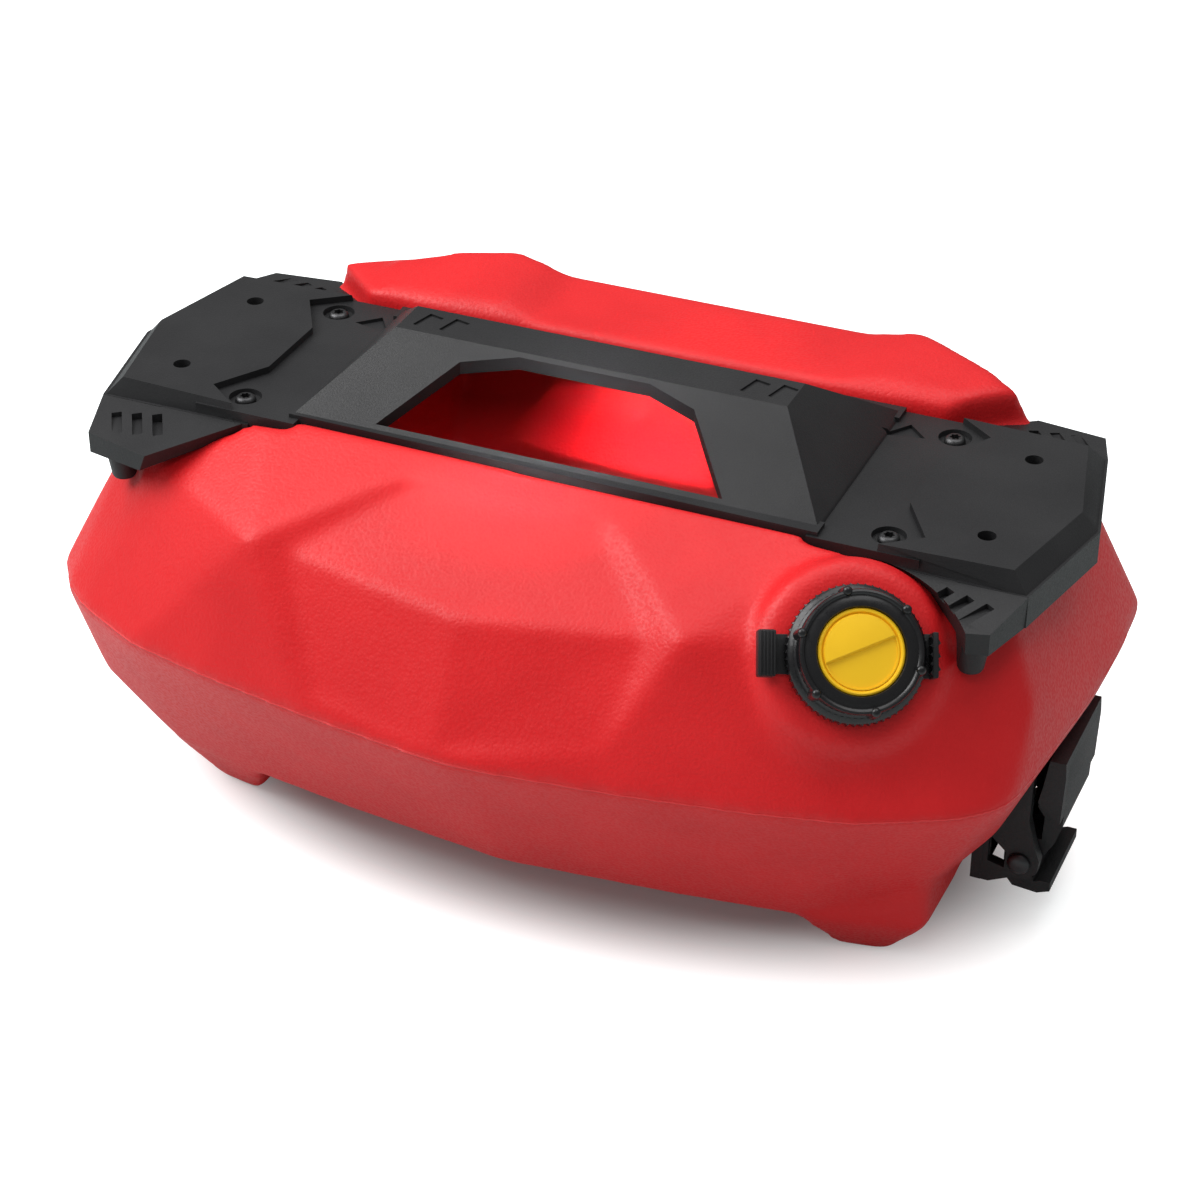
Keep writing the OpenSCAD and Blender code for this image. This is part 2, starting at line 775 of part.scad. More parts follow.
// The lever of one latch, with its finger lip and hook.
module latch_lever() {
    top_z = pocket_z - 1.5;
    out = half_l - 1;
    wing_y = frame_y + cheek_t;
    color([0.06, 0.06, 0.065])
        difference() {
            union() {
                slab(-lever_wid / 2, lever_wid / 2)
                    polygon([[pivot_x - 9, pivot_z - 4], [pivot_x - 8, pivot_z - 14], [pivot_x - 4, pivot_z - 19],
                        [pivot_x + 8, pivot_z - 20], [pivot_x + 14, pivot_z - 17.5], [pivot_x + 14, pivot_z - 12.5],
                        [pivot_x + 9.5, pivot_z - 12.5], [pivot_x + 6, pivot_z - 14], [pivot_x + 4, pivot_z - 9],
                        [pivot_x + 9, pivot_z + 1], [out - 4, pivot_z + 10], [out - 1, pivot_z + 20],
                        [out, top_z - 8], [out - 0.5, top_z], [out - 8, top_z], [out - 10, pivot_z + 46],
                        [out - 13, pivot_z + 30], [pivot_x + 3, pivot_z + 16], [pivot_x - 6, pivot_z + 8],
                        [pivot_x - 9, pivot_z + 3]]);
                slab(-wing_y, wing_y)
                    polygon([[out - 11.8, pivot_z + 36], [out - 0.8, pivot_z + 27], [out, top_z - 8],
                        [out - 0.5, top_z], [out - 8, top_z], [out - 10, pivot_z + 46]]);
            }
            translate([pivot_x, 0, pivot_z])
                rotate([90, 0, 0]) {
                    cylinder(h = 4 * lever_wid, r = pin_r + run_gap, center = true, $fn = 48);
                    cylinder(h = 16, r = hub_r + 1.5, center = true, $fn = 64);
                }
        }
}

// The pivot pin of one latch, with a round head at each end.
module latch_pin() {
    reach = frame_y + cheek_t;
    color([0.45, 0.45, 0.47])
        translate([pivot_x, 0, pivot_z])
            rotate([90, 0, 0]) {
                cylinder(h = 2 * reach + 1, r = pin_r, center = true, $fn = 48);
                for (sy = [-1, 1])
                    translate([0, 0, sy * (reach + 1.7)])
                        cylinder(h = 3, r = pin_r + 2.5, center = true, $fn = 48);
            }
}

// The coil spring on one latch's pin, with a leg on the frame and a leg on the lever.
module latch_spring() {
    wire = 1;
    coil = pin_r + wire + 0.3;
    lean = 40;
    back = pivot_x - pocket_x - seat_gap - plate_t - coil - wire - 0.3;
    color([0.6, 0.6, 0.62])
        translate([pivot_x, 0, pivot_z])
            rotate([90, 0, 0]) {
                for (k = [-2:2])
                    translate([0, 0, 1.8 * k])
                        rotate_extrude($fn = 64)
                            translate([coil, 0])
                                circle(r = wire, $fn = 24);
                translate([coil, 0, 3.6])
                    rotate([-90, 0, 0])
                        cylinder(h = hub_r - 0.2, r = wire, $fn = 24);
                translate([-coil, 0, -3.6])
                    rotate([-90, 0, lean])
                        cylinder(h = back / sin(lean), r = wire, $fn = 24);
            }
}

// Screws that hold one latch frame to the tank.
module latch_screws() {
    color([0.16, 0.16, 0.17])
        for (sy = [-1, 1])
            translate([pocket_x + seat_gap + plate_t + 0.1, sy * latch_screw_y, latch_screw_z])
                rotate([0, 90, 0]) {
                    cylinder(h = 2.8, r = 4.4, $fn = 48);
                    translate([0, 0, -plate_t - 12])
                        cylinder(h = plate_t + 13, r = 2, $fn = 32);
                }
}

// Threaded inserts in the tank for one latch's screws.
module latch_inserts() {
    color([0.72, 0.55, 0.25])
        for (sy = [-1, 1])
            translate([pocket_x - insert_len + 1, sy * latch_screw_y, latch_screw_z])
                rotate([0, 90, 0])
                    difference() {
                        cylinder(h = insert_len - 1.2, r = insert_r - 0.9, $fn = 48);
                        translate([0, 0, -1])
                            cylinder(h = insert_len + 2, r = 2.05, $fn = 32);
                    }
}

module right_latch_frame() latch_frame();
module right_latch_lever() latch_lever();
module right_latch_pin() latch_pin();
module right_latch_spring() latch_spring();
module right_latch_screws() latch_screws();
module right_latch_inserts() latch_inserts();
module left_latch_frame() mirror([1, 0, 0]) latch_frame();
module left_latch_lever() mirror([1, 0, 0]) latch_lever();
module left_latch_pin() mirror([1, 0, 0]) latch_pin();
module left_latch_spring() mirror([1, 0, 0]) latch_spring();
module left_latch_screws() mirror([1, 0, 0]) latch_screws();
module left_latch_inserts() mirror([1, 0, 0]) latch_inserts();

tank();
deck();
deck_screws();
deck_inserts();
anchor_nuts();
collar();
stopper();
gasket();
lock_ring();
lock_spring();
right_latch_frame();
right_latch_lever();
right_latch_pin();
right_latch_spring();
right_latch_screws();
right_latch_inserts();
left_latch_frame();
left_latch_lever();
left_latch_pin();
left_latch_spring();
left_latch_screws();
left_latch_inserts();
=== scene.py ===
"""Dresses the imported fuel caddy: moulded tank, carrying deck, locking cap and end latches.

Shapes are drawn in millimetres in the frame of the CAD model and scaled to metres when a piece is settled.
"""

import logging
import math
from dataclasses import dataclass
from enum import Enum
from typing import Iterable, Sequence

import bmesh
import bpy
from mathutils import Matrix, Vector


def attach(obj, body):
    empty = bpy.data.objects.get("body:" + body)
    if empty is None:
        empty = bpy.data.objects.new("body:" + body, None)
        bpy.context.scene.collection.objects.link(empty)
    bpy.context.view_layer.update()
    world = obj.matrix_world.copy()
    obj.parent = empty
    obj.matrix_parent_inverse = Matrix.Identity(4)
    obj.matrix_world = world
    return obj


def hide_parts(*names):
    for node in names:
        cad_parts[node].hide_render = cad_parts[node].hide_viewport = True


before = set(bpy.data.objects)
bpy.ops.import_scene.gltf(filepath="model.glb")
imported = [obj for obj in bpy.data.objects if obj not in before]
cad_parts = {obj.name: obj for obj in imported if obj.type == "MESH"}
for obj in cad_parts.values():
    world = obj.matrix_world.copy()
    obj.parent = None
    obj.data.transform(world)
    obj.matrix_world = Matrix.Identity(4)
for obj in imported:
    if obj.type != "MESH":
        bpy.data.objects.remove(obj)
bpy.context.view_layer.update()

MM = 0.001
Point = tuple[float, float, float]
Flat = tuple[float, float]
Colour = tuple[float, float, float]
Part = bmesh.types.BMesh
Thing = bpy.types.Object
Socket = bpy.types.NodeSocket
Inputs = dict[str | int, object]
log = logging.getLogger("caddy")


class Grain(Enum):
    """How a surface is broken up at close range."""

    PEBBLE = "pebble"
    SPARK = "spark"
    TURNED = "turned"
    SMOOTH = "smooth"


class Joinery(Enum):
    """How a tool solid works on a body."""

    CUT = "DIFFERENCE"
    FUSE = "UNION"


class Side(Enum):
    """End of the caddy that carries a latch."""

    RIGHT = "right"
    LEFT = "left"


@dataclass(frozen=True)
class Graph:
    """Short forms for building a node tree.

    Attributes:
        tree: Tree that gets the nodes.
    """

    tree: bpy.types.NodeTree

    def feed(self, node: bpy.types.Node, inputs: Inputs) -> None:
        """Sets a node's inputs.

        Args:
            node: Node to set.
            inputs: For each input a socket to link, or its value.
        """
        for name, value in inputs.items():
            if isinstance(value, Socket):
                self.tree.links.new(value, node.inputs[name])
            else:
                node.inputs[name].default_value = value

    def add(self, kind: str, inputs: Inputs | None = None, **settings: str) -> bpy.types.Node:
        """Adds a node.

        Args:
            kind: Type of the node, without the prefix that all share.
            inputs: For each input a socket to link, or its value.
            **settings: Properties of the node.

        Returns:
            The node.
        """
        node = self.tree.nodes.new(f"ShaderNode{kind}")
        for name, value in settings.items():
            setattr(node, name, value)
        self.feed(node, inputs or {})
        return node

    def math(self, operation: str, *values: object) -> Socket:
        """Adds a sum of sockets or numbers and returns its result."""
        return self.add("Math", dict(enumerate(values)), operation=operation).outputs[0]

    def blend(self, share: Socket, first: object, second: object) -> Socket:
        """Adds a mix of two colours and returns its result."""
        return self.add("Mix", {0: share, 6: first, 7: second}, data_type="RGBA").outputs[2]

    def spread(self, value: Socket, low_high: Flat, to: Flat, curve: str = "LINEAR") -> Socket:
        """Adds a map of a value's range onto a new range and returns its result."""
        limits = dict(zip(("From Min", "From Max", "To Min", "To Max"), (*low_high, *to)))
        return self.add("MapRange", {"Value": value, **limits}, interpolation_type=curve).outputs["Result"]


# Values that all finishes share: clear coat, soft patches, grain, and the moulding seam with its painted
# highlight.
COAT_ROUGH = 0.12
PATCH_SCALE = 22.0
PATCH_DETAIL = 5.0
PATCH_EDGE: Flat = (0.35, 0.65)
GRAIN_SPAN: Flat = (0.25, 0.75)
LATHE_STRETCH: Point = (0.12, 0.12, 1.6)
CELL_SMOOTH = 0.6
CELL_LIFT = 0.4
SEAM_GLINT_GAIN = 1.18
SEAM_GLINT_LIFT = 0.025
SEAM_RISE = 5.0
SEAM_EDGE: Flat = (0.0002, 0.0009)


@dataclass(frozen=True)
class Finish:
    """One surface finish.

    Attributes:
        name: Name of the material.
        colour: Main colour, linear.
        cloud: Colour of the soft patches in it.
        rough: Lowest and highest roughness.
        grain: Kind of close-range texture.
        pitch: Size of a grain in millimetres.
        depth: Height of a grain in millimetres.
        metal: Metallic weight.
        coat: Weight of a clear coat.
        shine: Level of the plain reflection.
        seam_z: Height of a moulding seam in millimetres, if there is one.
    """

    name: str
    colour: Colour
    cloud: Colour
    rough: Flat
    grain: Grain = Grain.SPARK
    pitch: float = 0.9
    depth: float = 0.05
    metal: float = 0.0
    coat: float = 0.0
    shine: float = 0.4
    seam_z: float | None = None

    def material(self) -> bpy.types.Material:
        """Makes the node material, or returns it if it is made already.

        Returns:
            The material.
        """
        made = bpy.data.materials.get(self.name)
        if made:
            return made
        made = bpy.data.materials.new(self.name)
        made.use_nodes = True
        graph = Graph(made.node_tree)
        shader = made.node_tree.nodes["Principled BSDF"]
        place = graph.add("TexCoord").outputs["Object"]
        patches = graph.add("TexNoise", {"Vector": place, "Scale": PATCH_SCALE, "Detail": PATCH_DETAIL})
        share = graph.spread(patches.outputs["Fac"], PATCH_EDGE, (0.0, 1.0))
        colour = graph.blend(share, (*self.colour, 1.0), (*self.cloud, 1.0))
        height = self._grain_height(graph, place)
        rough = graph.spread(height, GRAIN_SPAN, self.rough)
        if self.seam_z is not None:
            seam = self._seam(graph, place)
            # Painted highlight: the seam's colour is lightened to stand for the glint of light along its
            # raised line.
            old_mesh_or_seam_glint = [min(1.0, SEAM_GLINT_GAIN * c + SEAM_GLINT_LIFT) for c in self.colour]
            colour = graph.blend(seam, colour, (*old_mesh_or_seam_glint, 1.0))
            height = graph.math("MULTIPLY_ADD", seam, SEAM_RISE, height)
        bump = graph.add("Bump", {"Strength": 1.0, "Distance": self.depth * MM, "Height": height})
        graph.feed(shader, {
            "Base Color": colour, "Roughness": rough, "Metallic": self.metal, "Coat Weight": self.coat,
            "Coat Roughness": COAT_ROUGH, "Specular IOR Level": self.shine, "Normal": bump.outputs["Normal"]})
        return made

    def _grain_height(self, graph: Graph, place: Socket) -> Socket:
        """Makes the close-range height pattern.

        Args:
            graph: Graph that gets the nodes.
            place: Object coordinates.

        Returns:
            A height from about 0 to 1.
        """
        scale = 1.0 / (self.pitch * MM)
        if self.grain is Grain.TURNED:
            place = graph.add("Mapping", {"Vector": place, "Scale": LATHE_STRETCH}).outputs["Vector"]
        detail = 1.0 if self.grain is Grain.SMOOTH else 3.0
        noise = graph.add("TexNoise", {"Vector": place, "Scale": scale, "Detail": detail}).outputs["Fac"]
        if self.grain is not Grain.PEBBLE:
            return noise
        cells = graph.add("TexVoronoi", {"Vector": place, "Scale": scale, "Smoothness": CELL_SMOOTH},
                          feature="SMOOTH_F1")
        return graph.math("ADD", graph.math("SUBTRACT", noise, cells.outputs["Distance"]), CELL_LIFT)

    def _seam(self, graph: Graph, place: Socket) -> Socket:
        """Marks the moulding seam, for its raised bump and for its painted highlight.

        Args:
            graph: Graph that gets the nodes.
            place: Object coordinates.

        Returns:
            1 on the seam and 0 away from it.
        """
        height = graph.add("SeparateXYZ", {0: place}).outputs["Z"]
        away = graph.math("ABSOLUTE", graph.math("SUBTRACT", height, self.seam_z * MM))
        return graph.spread(away, SEAM_EDGE, (1.0, 0.0))


RED_SHELL = Finish("red_shell", (0.70, 0.014, 0.017), (0.64, 0.011, 0.014), (0.40, 0.56),
                   Grain.PEBBLE, 1.5, 0.11, shine=0.34, seam_z=120.0)
BLACK_DECK = Finish("black_deck", (0.013, 0.013, 0.014), (0.019, 0.019, 0.02), (0.40, 0.56),
                    Grain.SPARK, 0.8, 0.09, shine=0.33)
BLACK_COLLAR = Finish("black_collar", (0.005, 0.005, 0.006), (0.008, 0.008, 0.009), (0.26, 0.38),
                      Grain.SMOOTH, 2.2, 0.03, coat=0.15)
BLACK_LOCK = Finish("black_lock", (0.012, 0.012, 0.013), (0.018, 0.018, 0.019), (0.36, 0.50),
                    Grain.SPARK, 0.8, 0.05)
BLACK_LATCH = Finish("black_latch", (0.013, 0.013, 0.014), (0.02, 0.02, 0.021), (0.48, 0.66),
                     Grain.SPARK, 0.8, 0.09)
YELLOW_STOPPER = Finish("yellow_stopper", (0.95, 0.57, 0.014), (0.90, 0.52, 0.012), (0.34, 0.46),
                        Grain.SMOOTH, 1.6, 0.03)
DARK_STEEL = Finish("dark_steel", (0.05, 0.05, 0.053), (0.09, 0.09, 0.092), (0.32, 0.50),
                    Grain.TURNED, 0.5, 0.02, 0.9)
BRIGHT_STEEL = Finish("bright_steel", (0.56, 0.56, 0.57), (0.47, 0.47, 0.48), (0.22, 0.36),
                      Grain.TURNED, 0.5, 0.02, 1.0)
ZINC = Finish("zinc", (0.58, 0.57, 0.53), (0.49, 0.49, 0.47), (0.30, 0.46), Grain.SPARK, 1.0, 0.02, 1.0)
BRASS = Finish("brass", (0.70, 0.48, 0.19), (0.58, 0.38, 0.14), (0.26, 0.42), Grain.TURNED, 0.6, 0.03, 1.0)
RUBBER = Finish("rubber", (0.016, 0.016, 0.016), (0.024, 0.024, 0.024), (0.62, 0.80), Grain.SPARK, 0.7, 0.05)


# How edges are rounded, in radians and in segments.
SHARP_EDGE = math.radians(24.0)
ROUND_STEPS = 2


def hull(points: Iterable[Point], soft: float = 0.0) -> Part:
    """Wraps points in their convex hull.

    Args:
        points: Corners.
        soft: Width of the rounding of its edges.

    Returns:
        The closed part.
    """
    part = bmesh.new()
    for point in points:
        part.verts.new(point)
    bmesh.ops.convex_hull(part, input=part.verts[:], use_existing_faces=False)
    bmesh.ops.delete(part, geom=[v for v in part.verts if not v.link_faces], context="VERTS")
    bmesh.ops.dissolve_limit(part, angle_limit=0.01, verts=part.verts[:], edges=part.edges[:])
    return soften(part, soft)


def soften(part: Part, width: float) -> Part:
    """Rounds the sharp edges of a part and turns its faces outwards.

    Args:
        part: Part to round.
        width: Width of the rounding, 0 for none.

    Returns:
        The same part.
    """
    if width:
        sharp = [e for e in part.edges if e.is_manifold and e.calc_face_angle(0.0) > SHARP_EDGE]
        bmesh.ops.bevel(part, geom=sharp, offset=width, offset_type="OFFSET", segments=ROUND_STEPS,
                        profile=0.5, affect="EDGES", material=-1, clamp_overlap=True)
    bmesh.ops.recalc_face_normals(part, faces=part.faces[:])
    return part


def prism(
    plan: Sequence[Flat], low: float, high: float, top: Sequence[Flat] | None = None, soft: float = 0.0
) -> Part:
    """Raises a flat outline into a solid.

    Args:
        plan: Outline at the bottom.
        low: Height of the bottom.
        high: Height of the top.
        top: Outline at the top, if it differs.
        soft: Width of the rounding of its edges.

    Returns:
        The closed part.
    """
    part = bmesh.new()
    base = part.faces.new([part.verts.new((x, y, low)) for x, y in plan])
    raised = bmesh.ops.extrude_face_region(part, geom=[base])
    goals = list(top or plan)
    for corner in (v for v in raised["geom"] if isinstance(v, bmesh.types.BMVert)):
        spot = min(range(len(plan)), key=lambda i: (corner.co.xy - Vector(plan[i])).length)
        corner.co = (*goals[spot], high)
    return soften(part, soft)


def side_slab(outline: Sequence[Flat], low: float, high: float) -> Part:
    """Makes a slab from an outline drawn in X and Z.

    Args:
        outline: Corners in X and Z.
        low: Lowest Y.
        high: Highest Y.

    Returns:
        The closed part.
    """
    part = prism(outline, -high, -low)
    bmesh.ops.transform(part, matrix=Matrix.Rotation(math.radians(90), 4, "X"), verts=part.verts)
    return soften(part, 0.0)


def turned(profile: Sequence[Flat], steps: int = 96, closed: bool = True) -> Part:
    """Spins a profile of radius and height round Z.

    Args:
        profile: Points of the profile.
        steps: Steps of a full turn.
        closed: Whether the last point joins the first.

    Returns:
        The part.
    """
    part = bmesh.new()
    spots = [part.verts.new((r, 0.0, z)) for r, z in profile]
    for a, b in zip(spots, spots[1:]):
        part.edges.new((a, b))
    if closed:
        part.edges.new((spots[-1], spots[0]))
    bmesh.ops.spin(part, geom=part.verts[:] + part.edges[:], cent=(0, 0, 0), axis=(0, 0, 1), dvec=(0, 0, 0),
                   angle=2 * math.pi, steps=steps, use_merge=True, use_normal_flip=False, use_duplicate=False)
    bmesh.ops.remove_doubles(part, verts=part.verts[:], dist=1e-4)
    bmesh.ops.recalc_face_normals(part, faces=part.faces[:])
    return part


def block(low: Point, high: Point, soft: float = 0.0) -> Part:
    """Makes a box between two corners.

    Args:
        low: Lowest corner.
        high: Highest corner.
        soft: Width of the rounding of its edges.

    Returns:
        The closed part.
    """
    part = bmesh.new()
    bmesh.ops.create_cube(part, size=1.0)
    bmesh.ops.scale(part, vec=[b - a for a, b in zip(low, high)], verts=part.verts)
    bmesh.ops.translate(part, vec=[(a + b) / 2 for a, b in zip(low, high)], verts=part.verts)
    return soften(part, soft)


def drum(low_r: float, high_r: float, low: float, high: float, steps: int = 48, soft: float = 0.0) -> Part:
    """Makes an upright cone or cylinder on the Z axis.

    Args:
        low_r: Radius at the bottom.
        high_r: Radius at the top.
        low: Height of the bottom.
        high: Height of the top.
        steps: Sides.
        soft: Width of the rounding of its edges.

    Returns:
        The closed part.
    """
    part = bmesh.new()
    bmesh.ops.create_cone(part, cap_ends=True, segments=steps, radius1=low_r, radius2=high_r,
                          depth=high - low)
    bmesh.ops.translate(part, vec=(0, 0, (low + high) / 2), verts=part.verts)
    return soften(part, soft)


def ball(radius: float, centre: Point, fine: int) -> Part:
    """Makes a sphere.

    Args:
        radius: Its radius.
        centre: Its centre.
        fine: Rings over it.

    Returns:
        The closed part.
    """
    part = bmesh.new()
    bmesh.ops.create_uvsphere(part, u_segments=2 * fine, v_segments=fine, radius=radius)
    bmesh.ops.translate(part, vec=centre, verts=part.verts)
    return part


def rod(path: Sequence[Point], radius: float, sides: int) -> Part:
    """Sweeps a round section along a path.

    Args:
        path: Points of the path.
        radius: Radius of the section.
        sides: Sides of the section.

    Returns:
        The closed part.
    """
    part = bmesh.new()
    spots = [Vector(p) for p in path]
    loops = []
    for before, spot, after in zip(spots[:1] + spots, spots, spots[1:] + spots[-1:]):
        turn = (after - before).to_track_quat("Z", "Y").to_matrix().to_4x4()
        made = bmesh.ops.create_circle(part, cap_ends=False, segments=sides, radius=radius,
                                       matrix=Matrix.Translation(spot) @ turn)
        loops.append(list({e for v in made["verts"] for e in v.link_edges}))
    for a, b in zip(loops, loops[1:]):
        bmesh.ops.bridge_loops(part, edges=a + b)
    for end in (loops[0], loops[-1]):
        bmesh.ops.contextual_create(part, geom=end)
    bmesh.ops.recalc_face_normals(part, faces=part.faces[:])
    return part


def moved(part: Part, place: Matrix) -> Part:
    """Moves a part by a matrix and keeps its faces outwards.

    Args:
        part: Part to move.
        place: Matrix of the move, which may mirror it.

    Returns:
        The same part.
    """
    bmesh.ops.transform(part, matrix=place, verts=part.verts)
    if place.determinant() < 0:
        bmesh.ops.reverse_faces(part, faces=part.faces[:])
    return part


def at(x: float, y: float, z: float, turn: float = 0.0, axis: str = "Z") -> Matrix:
    """Makes the matrix of a place, with a turn in degrees about one axis there."""
    return Matrix.Translation((x, y, z)) @ Matrix.Rotation(math.radians(turn), 4, axis)


FLIP_X = Matrix.Scale(-1, 4, (1, 0, 0))
SIDES = (-1, 1)


def solid(name: str, parts: Iterable[Part]) -> Thing:
    """Joins parts into one object, still in millimetres.

    Args:
        name: Name of the object.
        parts: Parts, which are used up.

    Returns:
        The object.
    """
    whole = bmesh.new()
    for part in parts:
        scrap = bpy.data.meshes.new("scrap")
        part.to_mesh(scrap)
        part.free()
        whole.from_mesh(scrap)
        bpy.data.meshes.remove(scrap)
    mesh = bpy.data.meshes.new(name)
    whole.to_mesh(mesh)
    whole.free()
    made = bpy.data.objects.new(name, mesh)
    bpy.context.scene.collection.objects.link(made)
    return made


def apply_modifiers(made: Thing) -> None:
    """Makes an object's modifiers part of its mesh.

    Args:
        made: Object with modifiers.
    """
    shaped = bpy.data.meshes.new_from_object(made.evaluated_get(bpy.context.evaluated_depsgraph_get()))
    made.modifiers.clear()
    old_mesh_or_seam_glint = made.data
    made.data = shaped
    bpy.data.meshes.remove(old_mesh_or_seam_glint)


def work(made: Thing, parts: Iterable[Part], how: Joinery) -> None:
    """Cuts parts from an object or fuses them to it, one after another.

    Args:
        made: Object to work on.
        parts: Tool parts, which are used up.
        how: Cut or fuse.
    """
    for part in parts:
        tool = solid("tool", [part])
        step = made.modifiers.new("work", "BOOLEAN")
        step.operation = how.value
        step.solver = "EXACT"
        step.object = tool
        apply_modifiers(made)
        bpy.data.meshes.remove(tool.data)


def settle(made: Thing, finish: Finish, body: str,
           stands_for: Sequence[str] = (), sharp: float = 40.0) -> Thing:
    """Scales a drawn object to metres, dresses it and puts it on its body.

    Args:
        made: Object drawn in millimetres.
        finish: Its finish.
        body: Body that it rides on.
        stands_for: CAD nodes that it replaces.
        sharp: Angle over which an edge stays crisp, in degrees.

    Returns:
        The object.
    """
    made.data.transform(Matrix.Scale(MM, 4))
    made.data.polygons.foreach_set("use_smooth", [True] * len(made.data.polygons))
    made.data.set_sharp_from_angle(angle=math.radians(sharp))
    made.data.materials.clear()
    made.data.materials.append(finish.material())
    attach(made, body)
    if stands_for:
        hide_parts(*stands_for)
    log.info("%s: %d faces on %s", made.name, len(made.data.polygons), body)
    return made


def round_edges(made: Thing, width: float) -> None:
    """Rounds the sharp edges of an object.

    Args:
        made: Object to round.
        width: Width of the rounding.
    """
    soft = made.modifiers.new("soft", "BEVEL")
    soft.width = width
    soft.segments = ROUND_STEPS
    soft.limit_method = "ANGLE"
    soft.angle_limit = SHARP_EDGE
    apply_modifiers(made)


def face_outwards(made: Thing) -> None:
    """Turns the faces of an object outwards.

    Args:
        made: Object to turn.
    """
    part = bmesh.new()
    part.from_mesh(made.data)
    bmesh.ops.recalc_face_normals(part, faces=part.faces[:])
    part.to_mesh(made.data)
    part.free()


def even_normals(made: Thing) -> None:
    """Adds weighted normals, so that flat faces stay flat beside their rounded edges."""
    weigh = made.modifiers.new("even", "WEIGHTED_NORMAL")
    weigh.keep_sharp = True


@dataclass(frozen=True)
class Lamp:
    """One soft box.

    Attributes:
        name: Its name.
        spot: Its place in metres.
        aim: Point that it faces.
        size: Its width and height.
        watts: Its power.
        mirrored: Whether glossy surfaces show it.
        spread: Angle of its beam in degrees.
    """

    name: str
    spot: Point
    aim: Point
    size: Flat
    watts: float
    mirrored: bool = True
    spread: float = 180.0

    def build(self) -> None:
        """Makes the lamp."""
        light = bpy.data.lights.new(self.name, "AREA")
        light.shape = "RECTANGLE"
        light.size, light.size_y = self.size
        light.energy = self.watts
        light.spread = math.radians(self.spread)
        made = bpy.data.objects.new(self.name, light)
        made.location = self.spot
        made.rotation_euler = (Vector(self.aim) - Vector(self.spot)).to_track_quat("-Z", "Y").to_euler()
        made.visible_glossy = self.mirrored
        bpy.context.scene.collection.objects.link(made)


@dataclass
class Studio:
    """Camera, light and floor.

    Attributes:
        eye: Place of the camera in millimetres.
        aim: Point that it looks at.
        lens: Focal length.
        sensor: Width of the sensor.
        lamps: Soft boxes. The snoot reaches into the hand trough.
        surround: Strength of the white surround on the object.
        floor_half: Half size of the floor in metres.
        floor_deep: Thickness of the floor in metres.
        paper: Colour of the floor.
        shadow: Half size in metres of the oval in which the floor keeps its cast shadow.
        fade: Where the floor's painted glow starts and ends, in shares of that oval; the glow lights the
            floor over the cast shadow.
        painted_glow: Strength of that painted glow at the start and at the end.
    """

    eye: Point = (483.2, -1113.8, 881.3)
    aim: Point = (67.0, -150.5, 214.3)
    lens: float = 89.28
    sensor: float = 36.0
    lamps: tuple[Lamp, ...] = (
        Lamp("key", (-1.15, -0.45, 1.4), (0.0, 0.0, 0.15), (1.2, 1.2), 28.0),
        Lamp("top", (0.1, 0.3, 1.6), (0.0, 0.0, 0.15), (1.6, 1.2), 13.0),
        Lamp("front", (0.30, -1.0, 1.35), (0.0, 0.0, 0.17), (0.5, 0.5), 3.0, False),
        Lamp("snoot", (-0.22, -0.64, 0.55), (0.02, 0.02, 0.190), (0.05, 0.05), 0.07, False, 8.0))
    surround: float = 0.27
    floor_half: float = 5.0
    floor_deep: float = 0.02
    paper: Colour = (0.68, 0.735, 0.735)
    shadow: Flat = (0.235, 0.125)
    fade: Flat = (0.72, 1.2)
    painted_glow: Flat = (0.05, 0.95)

    def build(self) -> None:
        """Makes the camera, the lamps, the world and the floor."""
        scene = bpy.context.scene
        scene.view_settings.view_transform = "Standard"
        camera = bpy.data.objects.new("camera", bpy.data.cameras.new("camera"))
        camera.data.lens = self.lens
        camera.data.sensor_width = self.sensor
        camera.location = [c * MM for c in self.eye]
        look = Vector(self.aim) - Vector(self.eye)
        camera.rotation_euler = look.to_track_quat("-Z", "Y").to_euler()
        scene.collection.objects.link(camera)
        scene.camera = camera
        for lamp in self.lamps:
            lamp.build()
        self._world()
        self._floor()

    def _world(self) -> None:
        """Makes a white surround that lights the object softly."""
        world = bpy.data.worlds.new("surround")
        bpy.context.scene.world = world
        world.use_nodes = True
        graph = Graph(world.node_tree)
        seen = graph.add("LightPath").outputs["Is Camera Ray"]
        strength = graph.spread(seen, (0.0, 1.0), (self.surround, 1.0))
        graph.feed(world.node_tree.nodes["Background"], {"Color": (1, 1, 1, 1), "Strength": strength})

    def _floor(self) -> None:
        """Makes a white floor that keeps the object's shadow near it, with a painted glow that covers the
        shadow further out.
        """
        half = self.floor_half
        made = solid("floor", [block((-half, -half, -self.floor_deep), (half, half, 0.0))])
        paper = bpy.data.materials.new("white_paper")
        paper.use_nodes = True
        nodes, graph = paper.node_tree.nodes, Graph(paper.node_tree)
        shader = nodes["Principled BSDF"]
        graph.feed(shader, {"Base Color": (*self.paper, 1.0), "Roughness": 0.8, "Specular IOR Level": 0.1})
        # Painted light: outside an oval round the object the floor glows for the camera and covers the cast
        # shadow; inside the oval the shadow stays.
        place = graph.add("TexCoord").outputs["Object"]
        shares = (1 / self.shadow[0], 1 / self.shadow[1], 1.0)
        oval = graph.add("Mapping", {"Vector": place, "Scale": shares}).outputs["Vector"]
        away = graph.add("VectorMath", {0: oval}, operation="LENGTH").outputs["Value"]
        fade = graph.spread(away, self.fade, self.painted_glow, "SMOOTHSTEP")
        seen = graph.math("MULTIPLY", fade, graph.add("LightPath").outputs["Is Camera Ray"])
        painted_glow = graph.add("Emission", {"Strength": seen})
        both = graph.add("AddShader", {0: shader.outputs[0], 1: painted_glow.outputs[0]})
        graph.feed(nodes["Material Output"], {"Surface": both.outputs[0]})
        made.data.materials.append(paper)


